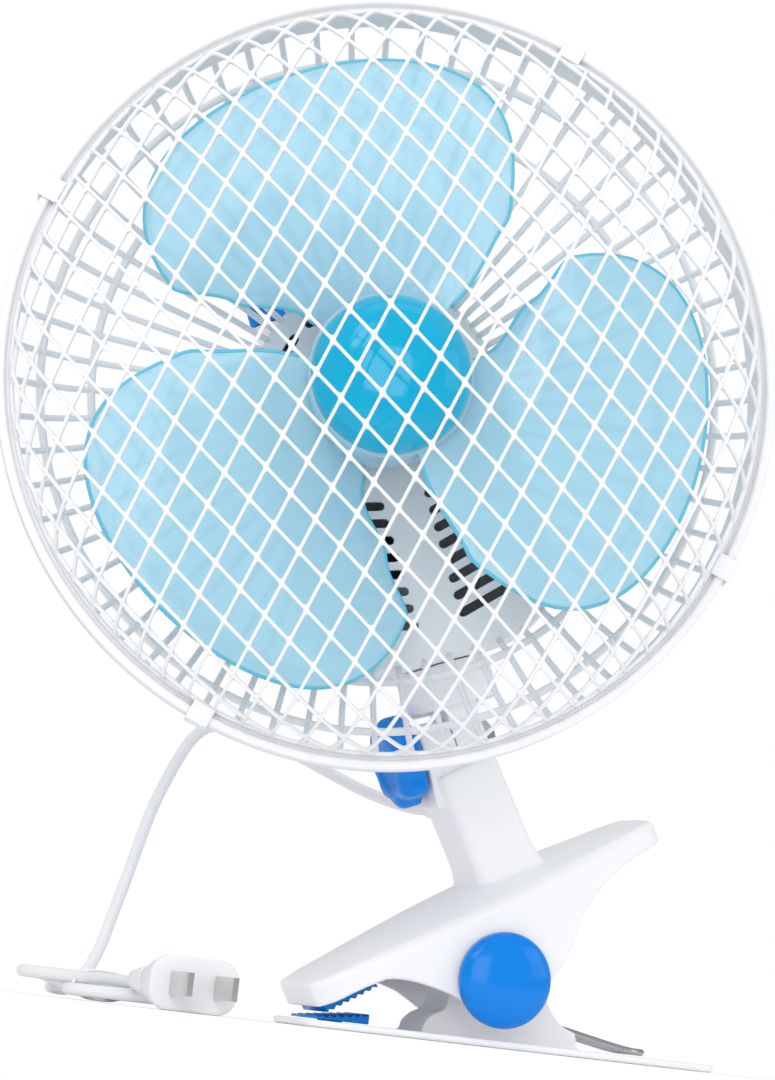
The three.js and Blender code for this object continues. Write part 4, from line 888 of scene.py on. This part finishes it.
def capsule(x0, z0, x1, z1, half, steps=8):
    angle = degrees(atan2(z1 - z0, x1 - x0))
    return arc((x0, z0), half, angle + 90, angle + 270, steps) + arc((x1, z1), half, angle - 90, angle + 90, steps)


def vent_outlines():
    half, rise = 1.4, tan(radians(14))
    made = []
    for side in (-1, 1):
        for row in range(8):
            z = -31 - row * 5.3
            inner, outer = 6.2 + half, 12.5 + row * 1.9 - half
            made.append(capsule(side * inner, z, side * outer, z + (outer - inner) * rise, half))
            if row < 3:
                made.append(capsule(side * 19.5, z + 13 * rise, side * (26 + row), z + (20 + row) * rise, half))
        for angle in (-6, 20, 46, 72):
            a, b = radians(angle - 7), radians(angle + 7)
            ends = (side * 30.5 * cos(a), 30.5 * sin(a), side * 30.5 * cos(b), 30.5 * sin(b))
            made.append(capsule(*ends, half))
    return made


def make_rear_guard():
    bars = Gathered()
    section = bar_section(RIB_WIDTH, RIB_THICK, 10, 0.7)
    for rib in range(RIB_COUNT):
        angle = TAU * rib / RIB_COUNT
        start = shield_reach(angle) - 1.2
        stops = [(start, BOWL + 1.1), ((start + INNER_RING) / 2, BOWL - 0.9), (INNER_RING, BOWL - 4),
                 (93, BOWL - 7), (OUTER_RING, BOWL - 12), (106.6, BOWL - 18), (110.5, BAND_DEPTH - 1)]
        line = smooth_line([(rr * cos(angle), yy, rr * sin(angle)) for rr, yy in stops], 3)
        across = Vector((-sin(angle), 0, cos(angle)))
        normals = []
        for i in range(len(line)):
            ahead = line[min(i + 1, len(line) - 1)] - line[max(i - 1, 0)]
            normals.append(ahead.cross(across).normalized())
        bars.add(sweep_data(line, section, normals))
    for radius, level in ((INNER_RING, BOWL - 4), (OUTER_RING, BOWL - 12)):
        hoop = bar_section(2.4, 2.2, 10, 0.7)
        rings = [[((radius + side) * c, level + out, (radius + side) * s) for side, out in hoop]
                 for c, s in circle(160)]
        bars.add(rings_data(rings, round_again=True))
    ribs = bars.build("rear_ribs", HEAD)
    finish(ribs, "head")
    edge, back = BAND_RADIUS, BAND_DEPTH
    profile = [(edge - BAND_WALL, 0.15), (RIM_RADIUS, 0.15), (RIM_RADIUS, FLANGE), (edge + 0.1, FLANGE),
               (edge, back - 2), (edge - 2.6, back + 1), (edge - 3.8, back - 0.4), (edge - BAND_WALL, back - 4)]
    band = lathe("rear_band", rounded(profile, 0.9, sharp=(0, 1)), HEAD, 220)
    finish(band, "head", crease=50)
    plate = prism("motor_shield", shield_outline(0), BOWL, SHIELD_BACK + SHIELD_SKIRT, HEAD)
    bevel(plate, 1.4, 4)
    cutters = [prism("cut", shield_outline(COVER_WALL), SHIELD_BACK, SHIELD_BACK + 20, HEAD),
               rod("cut", 4.5, (0, 30, 0), (0, 60, 0), HEAD)]
    cut(plate, *cutters)
    vents = Gathered()
    for outline in vent_outlines():
        rings = [[Vector((x, level, z)) for x, z in outline] for level in (BOWL - 2, SHIELD_BACK + 0.8)]
        vents.add(rings_data(rings))
    cut(plate, vents.build("cut", HEAD))
    profile = [(4.5, -0.5), (11, -0.5), (11, 8), (8.3, 8), (8.3, 0), (4.5, 0)]
    bushing = lathe("bearing_boss", [(r, SHIELD_BACK + y) for r, y in profile], HEAD, 64)
    finish(bushing, "head", crease=40)
    finish(plate, "head", "white_plastic", ("rear_guard",), crease=32)


def make_motor_cover():
    def rings(inset):
        depth = COVER_DEPTH - inset
        made = [[(x, COVER_FRONT - (1 if inset else 0), z) for x, z in shield_outline(inset)]]
        steps = 26
        for i in range(1, steps + 1):
            angle = radians(86) * i / steps
            scale = 1 - 0.55 * (1 - cos(angle)) ** 1.6
            y = COVER_FRONT + depth * sin(angle) * sin(radians(82)) / sin(radians(86))
            made.append([(x * scale, y, -14 + (z + 14) * scale) for x, z in shield_outline(inset)])
        return made
    cover = loft("rear_housing", rings(0), HEAD)
    cut(cover, loft("cut", rings(COVER_WALL), HEAD))
    boss = rod("boss", 10, (0, 62, -79), (0, 62, -60), HEAD)
    keep(boss, loft("keep", rings(0.5), HEAD))
    turret = rod("turret", 5, (CLUTCH_X, CLUTCH_Y, 22), (CLUTCH_X, CLUTCH_Y, KNOB_SEAT - FIT), HEAD)
    join(cover, boss, turret)
    cutters = [
        rod("cut", 7.3, (0, 62, -90), (0, 62, -30), HEAD),
        rod("cut", 3.1, (CLUTCH_X, CLUTCH_Y, 10), (CLUTCH_X, CLUTCH_Y, 60), HEAD),
        rod("cut", 4.0, (0, 60, -42), (0, 140, -42), HEAD),
    ]
    cut(cover, *cutters)
    vents = Gathered()
    for i in range(5):
        for side in (-1, 1):
            z = 12 - i * 6
            outline = capsule(side * 7, z, side * 17, z, 1.4)
            vents.add(rings_data([[Vector((x, level, zz)) for x, zz in outline] for level in (84, 140)]))
    cut(cover, vents.build("cut", HEAD))
    finish(cover, "head", "white_plastic", ("motor_cover",), crease=32)


make_front_guard()
make_rear_guard()
make_motor_cover()


# ---------------- blades and knobs
BLADE_RADIUS, BLADE_DEPTH, BLADE_THICK, BLADE_TURN = 94, 28, 1.6, 91
HUB_RADIUS, HUB_FRONT, HUB_BACK, HUB_WALL = 24.2, 13.5, 14, 2
# angles of a blade's two edges about its middle, against the radius
BLADE_LOW = [(22, -58), (30, -58), (56, -53.5), (70, -48.5), (95, -48.5)]
BLADE_HIGH = [(22, 30), (30, 31), (50, 43.5), (68, 48.5), (95, 48.5)]
SPINNER_HEIGHT, SHAFT_RADIUS, SHAFT_FRONT = 15, 3, 20


def along_table(table, at):
    for (x0, y0), (x1, y1) in zip(table, table[1:]):
        if at <= x1:
            share = max(0.0, (at - x0) / (x1 - x0))
            share = share * share * (3 - 2 * share)
            return y0 + (y1 - y0) * share
    return table[-1][1]


def blade_point(turn, u, v):
    """Middle of the blade's sheet: u from the hub to the tip, v from one edge to the other."""
    tip = BLADE_RADIUS * (1 - 0.28 * abs(v) ** 5)
    root = HUB_RADIUS - HUB_WALL
    radius = root + (tip - root) * u
    low, high = along_table(BLADE_LOW, radius), along_table(BLADE_HIGH, radius)
    angle = radians(turn + low + (high - low) * (v + 1) / 2)
    y = v * BLADE_DEPTH * (0.82 - 0.06 * u) / 2 - 1 - 3 * (1 - v * v) * u
    return Vector((radius * cos(angle), y, radius * sin(angle)))


def blade_data(turn):
    rows, columns = 36, 40
    upper, lower = [], []
    for i in range(rows + 1):
        u = i / rows
        for j in range(columns + 1):
            v = -1 + 2 * j / columns
            edge = min(1, (1 - abs(v)) / 0.03, max(0.0, 1 - u) / 0.02)
            half_thick = Vector((0, BLADE_THICK / 2 * (0.45 + 0.55 * sqrt(max(0, edge))), 0))
            upper.append(blade_point(turn, u, v) - half_thick)
            lower.append(blade_point(turn, u, v) + half_thick)
    wide = columns + 1
    faces = []
    shift = len(upper)
    for i in range(rows):
        for j in range(columns):
            a = i * wide + j
            faces.append((a, a + wide, a + wide + 1, a + 1))
            faces.append((shift + a + 1, shift + a + wide + 1, shift + a + wide, shift + a))
    for i in range(rows):
        for a, b in ((i * wide, (i + 1) * wide), ((i + 1) * wide + columns, i * wide + columns)):
            faces.append((b, a, shift + a, shift + b))
    for j in range(columns):
        for a, b in ((j, j + 1), (rows * wide + j + 1, rows * wide + j)):
            faces.append((a, b, shift + b, shift + a))
    return upper + lower, faces


def blade_edge(turn):
    """The thicker bead round the free edge of a blade; its material paints a darker, deeper blue line along the
    edge as painted edge shade.
    """
    steps = 40
    line = [blade_point(turn, 0.1 + 0.9 * i / steps, -1) for i in range(steps)]
    line += [blade_point(turn, 1, -1 + 2 * i / steps) for i in range(steps)]
    line += [blade_point(turn, 1 - 0.9 * i / steps, 1) for i in range(steps + 1)]
    return sweep_data(resample(line, 2.0), round_section(0.6, 8))


def make_blades():
    bore, inside, stem = SHAFT_RADIUS + FIT, HUB_RADIUS - HUB_WALL, 7.3
    floor, back = -HUB_FRONT + HUB_WALL, HUB_BACK - 4
    cup = [(bore, -HUB_FRONT), (HUB_RADIUS, -HUB_FRONT), (HUB_RADIUS, HUB_BACK), (inside, HUB_BACK),
           (inside, floor), (stem, floor), (stem, back), (bore, back)]
    hub = lathe("blade_hub", rounded(cup, 0.7, 3), HEAD, 96)
    finish(hub, "blades", "blade_plastic", ("fan_blade",), crease=45)
    for k in range(3):
        blade = mesh_object(f"blade_{k + 1}", *blade_data(BLADE_TURN + 120 * k), HEAD)
        finish(blade, "blades", "blade_plastic", crease=50)
        # Each blade's edge bead carries the painted edge shade.
        painted_shade_bead = mesh_object(f"blade_{k + 1}_bead", *blade_edge(BLADE_TURN + 120 * k), HEAD)
        finish(painted_shade_bead, "blades", "blade_plastic", material=BLADE_EDGE_PAINTED_SHADE)


def make_spinner():
    front = -HUB_FRONT - FIT
    profile = [(0, -SHAFT_FRONT - FIT), (SHAFT_RADIUS + FIT, -SHAFT_FRONT - FIT), (SHAFT_RADIUS + FIT, front)]
    for i in range(31):
        angle = pi / 2 * i / 30
        radius = (HUB_RADIUS - 1) * cos(angle) ** 0.8 if i < 30 else 0
        profile.append((radius, front - SPINNER_HEIGHT * sin(angle)))
    cap = lathe("spinner_dome", profile, HEAD, 96, closed=False)
    finish(cap, "blades", "spinner_plastic", ("spinner",), crease=45)


def turned_knob(name, radius, height, place, body, node, flutes):
    levels = [(0.96, 0), (1, 0.6), (1, height - 2), (0.97, height - 1), (0.88, height - 0.3), (0.7, height),
              (0.05, height)]
    rings = []
    for scale, level in levels:
        ring = []
        for i in range(72):
            angle = TAU * i / 72
            wave = 0.25 * (cos(flutes * angle) - 1) if 0.5 < level < height - 1.5 else 0
            ring.append(((radius * scale + wave) * cos(angle), (radius * scale + wave) * sin(angle), level))
        rings.append(ring)
    knob = loft(name, rings, place)
    finish(knob, body, "blue_plastic", (node,), crease=45)


make_blades()
make_spinner()
pull_place = HEAD @ Matrix.Translation((CLUTCH_X, CLUTCH_Y, KNOB_SEAT))
turned_knob("swing_pull_knob", 6, 11, pull_place, "swing_pull", "swing_knob", 18)
cover_back = COVER_FRONT + COVER_DEPTH * sin(radians(82))
dial_place = HEAD @ Matrix.Translation((0, cover_back + FIT, -42)) @ Matrix.Rotation(-pi / 2, 4, "X")
turned_knob("speed_dial_knob", 9, 9, dial_place, "speed_dial", "speed_knob", 24)


# ---------------- hank tie, plug and guard clips
HANK_NEAR = HANK_FAR - HANK_LENGTH


def make_tie():
    half_x, half_z, middle_z = 8.3, 4.2, 4.85
    line = [Vector((HANK_X + 1.8 + x, HANK_FAR - HANK_LENGTH / 2, middle_z + z))
            for x, z in bar_section(2 * half_x, 2 * half_z, 64, 0.75)]
    rings = []
    for i, point in enumerate(line):
        ahead = (line[(i + 1) % 64] - line[i - 1]).normalized()
        out = ahead.cross(Vector((0, 1, 0)))
        rings.append([point + Vector((0, 1.1 * c, 0)) + out * 0.45 * s for c, s in circle(12)])
    tie = mesh_object("twist_tie", *rings_data(rings, round_again=True))
    finish(tie, "base", "white_plastic", ("hank_tie",))


def make_plug():
    middle_z = 7.5
    start = HANK_NEAR - 0.3
    sizes = [(2.5, 2.5, 1.8, 0.0), (2.9, 2.8, 2.0, 0.4)]
    for i in range(4):
        y = 2.5 + 4.2 * i
        grow = 0.6 * i
        sizes += [(3.2 + grow, 3.0 + 0.3 * i, 2.4, y), (3.2 + grow, 3.0 + 0.3 * i, 2.4, y + 2.3),
                  (2.6 + grow, 2.5 + 0.3 * i, 1.9, y + 2.6), (2.6 + grow, 2.5 + 0.3 * i, 1.9, y + 3.8)]
    sizes += [(5.4, 4.3, 3, 20), (5.9, 4.8, 3.2, 24), (7.2, 5.6, 3.8, 29.5), (8.7, 6.2, 4.2, 35.5),
              (9.8, 6.6, 4.6, 41.5), (10.3, 6.8, 4.8, 47.5), (10.5, 6.8, 4.9, 50.6), (12.1, 7.3, 5.3, 51.1),
              (12.5, 7.5, 5.5, 51.8), (12.5, 7.5, 5.5, 53.2), (12.2, 7.2, 5.3, 53.8), (11.6, 6.7, 5, 54)]
    rings = []
    for half_x, half_z, corner, depth in sizes:
        ring = rounded_ring(half_x, half_z, corner, 0)
        rings.append([(HANK_X + x, start - depth, middle_z + z) for x, z, _ in ring])
    plug = loft("plug_moulding", rings)
    finish(plug, "base", "cord_jacket", ("plug",), crease=45)


def make_guard_clips():
    outside, width, thick, lip = RIM_RADIUS + FIT, 6.8, 0.8, 5.2
    outline = [(outside, -RIM_FRONT - FIT), (outside, FLANGE + FIT), (outside - 1.3, FLANGE + FIT),
               (outside - 1.3, FLANGE + FIT + thick), (outside + thick, FLANGE + FIT + thick),
               (outside + thick, -RIM_FRONT - FIT - thick), (outside - lip, -RIM_FRONT - FIT - thick),
               (outside - lip, -RIM_FRONT - FIT)]
    for k in range(4):
        place = HEAD @ Matrix.Rotation(-radians(45 + 90 * k), 4, "Y")
        rings = [[(r, y, side) for r, y in rounded(outline, 0.4, 3)] for side in (-width / 2, width / 2)]
        clip = loft(f"rim_clip_{k + 1}", rings, place)
        bevel(clip, 0.3, 2, 60)
        finish(clip, "head", "white_plastic", (f"guard_clip_{k + 1}",), crease=40)


make_tie()
make_plug()
make_guard_clips()


# ---------------- floor, light and background
def make_stage():
    """A pale sheet under the fan that fades into the white background well before its edge."""
    reach, middle = 700, Vector((-40, 0, 0))
    points = [middle + Vector((r * c, r * s, -0.05)) for r in (0.5, reach) for c, s in circle(96)]
    faces = [(i, (i + 1) % 96, 96 + (i + 1) % 96, 96 + i) for i in range(96)] + [tuple(range(96))]
    floor = mesh_object("floor", points, faces)
    material = bpy.data.materials.new("floor_white")
    material.use_nodes = True
    tree = material.node_tree
    shader = wire(tree, tree.nodes["Principled BSDF"], {"Base Color": (0.93, 0.93, 0.94, 1), "Roughness": 0.9})
    place = add_node(tree, "NewGeometry")
    away = add_node(tree, "VectorMath", {1: middle * MM}, {0: (place, "Position")}, operation="DISTANCE")
    fade = add_node(tree, "MapRange", {"From Min": 0.12, "From Max": 0.45}, {"Value": (away, "Value")},
                    interpolation_type="SMOOTHSTEP")
    clear = add_node(tree, "BsdfTransparent")
    mix = add_node(tree, "MixShader", {}, {"Fac": (fade, "Result"), 1: (shader, "BSDF"), 2: (clear, "BSDF")})
    wire(tree, tree.nodes["Material Output"], {}, {"Surface": (mix, "Shader")})
    floor.data.materials.append(material)


def area_light(name, place, target, size, power):
    data = bpy.data.lights.new(name, "AREA")
    data.shape = "RECTANGLE"
    data.size = data.size_y = size
    data.energy = power
    light = bpy.data.objects.new(name, data)
    light.location = place
    light.rotation_euler = (Vector(target) - Vector(place)).to_track_quat("-Z", "Y").to_euler()
    bpy.context.scene.collection.objects.link(light)


def make_light():
    world = bpy.data.worlds.new("studio")
    bpy.context.scene.world = world
    world.use_nodes = True
    tree = world.node_tree
    path = add_node(tree, "LightPath")
    dim = add_node(tree, "MapRange", {"To Min": 0.86, "To Max": 0.4}, {"Value": (path, "Is Glossy Ray")})
    back = wire(tree, tree.nodes["Background"], {"Color": (0.985, 0.99, 1.0, 1)}, {"Strength": (dim, "Result")})
    seen = add_node(tree, "Background", {"Color": (1, 1, 1, 1)})
    either = add_node(tree, "Math", {}, {0: (path, "Is Camera Ray"), 1: (path, "Is Transmission Ray")},
                      operation="MAXIMUM")
    mix = add_node(tree, "MixShader", {},
                   {"Fac": (either, "Value"), 1: (back, "Background"), 2: (seen, "Background")})
    wire(tree, tree.nodes["World Output"], {}, {"Surface": (mix, "Shader")})
    middle = (-0.06, 0, 0.15)
    area_light("front", (-0.55, -1.45, 0.35), middle, 0.9, 5)
    area_light("key", (-0.8, -0.7, 0.95), middle, 0.6, 3)
    area_light("side", (0.95, -0.6, 0.5), middle, 0.7, 1.5)
    area_light("top", (-0.05, 0.25, 1.2), middle, 0.9, 2)


make_stage()
make_light()
bpy.context.scene.view_settings.view_transform = "Standard"
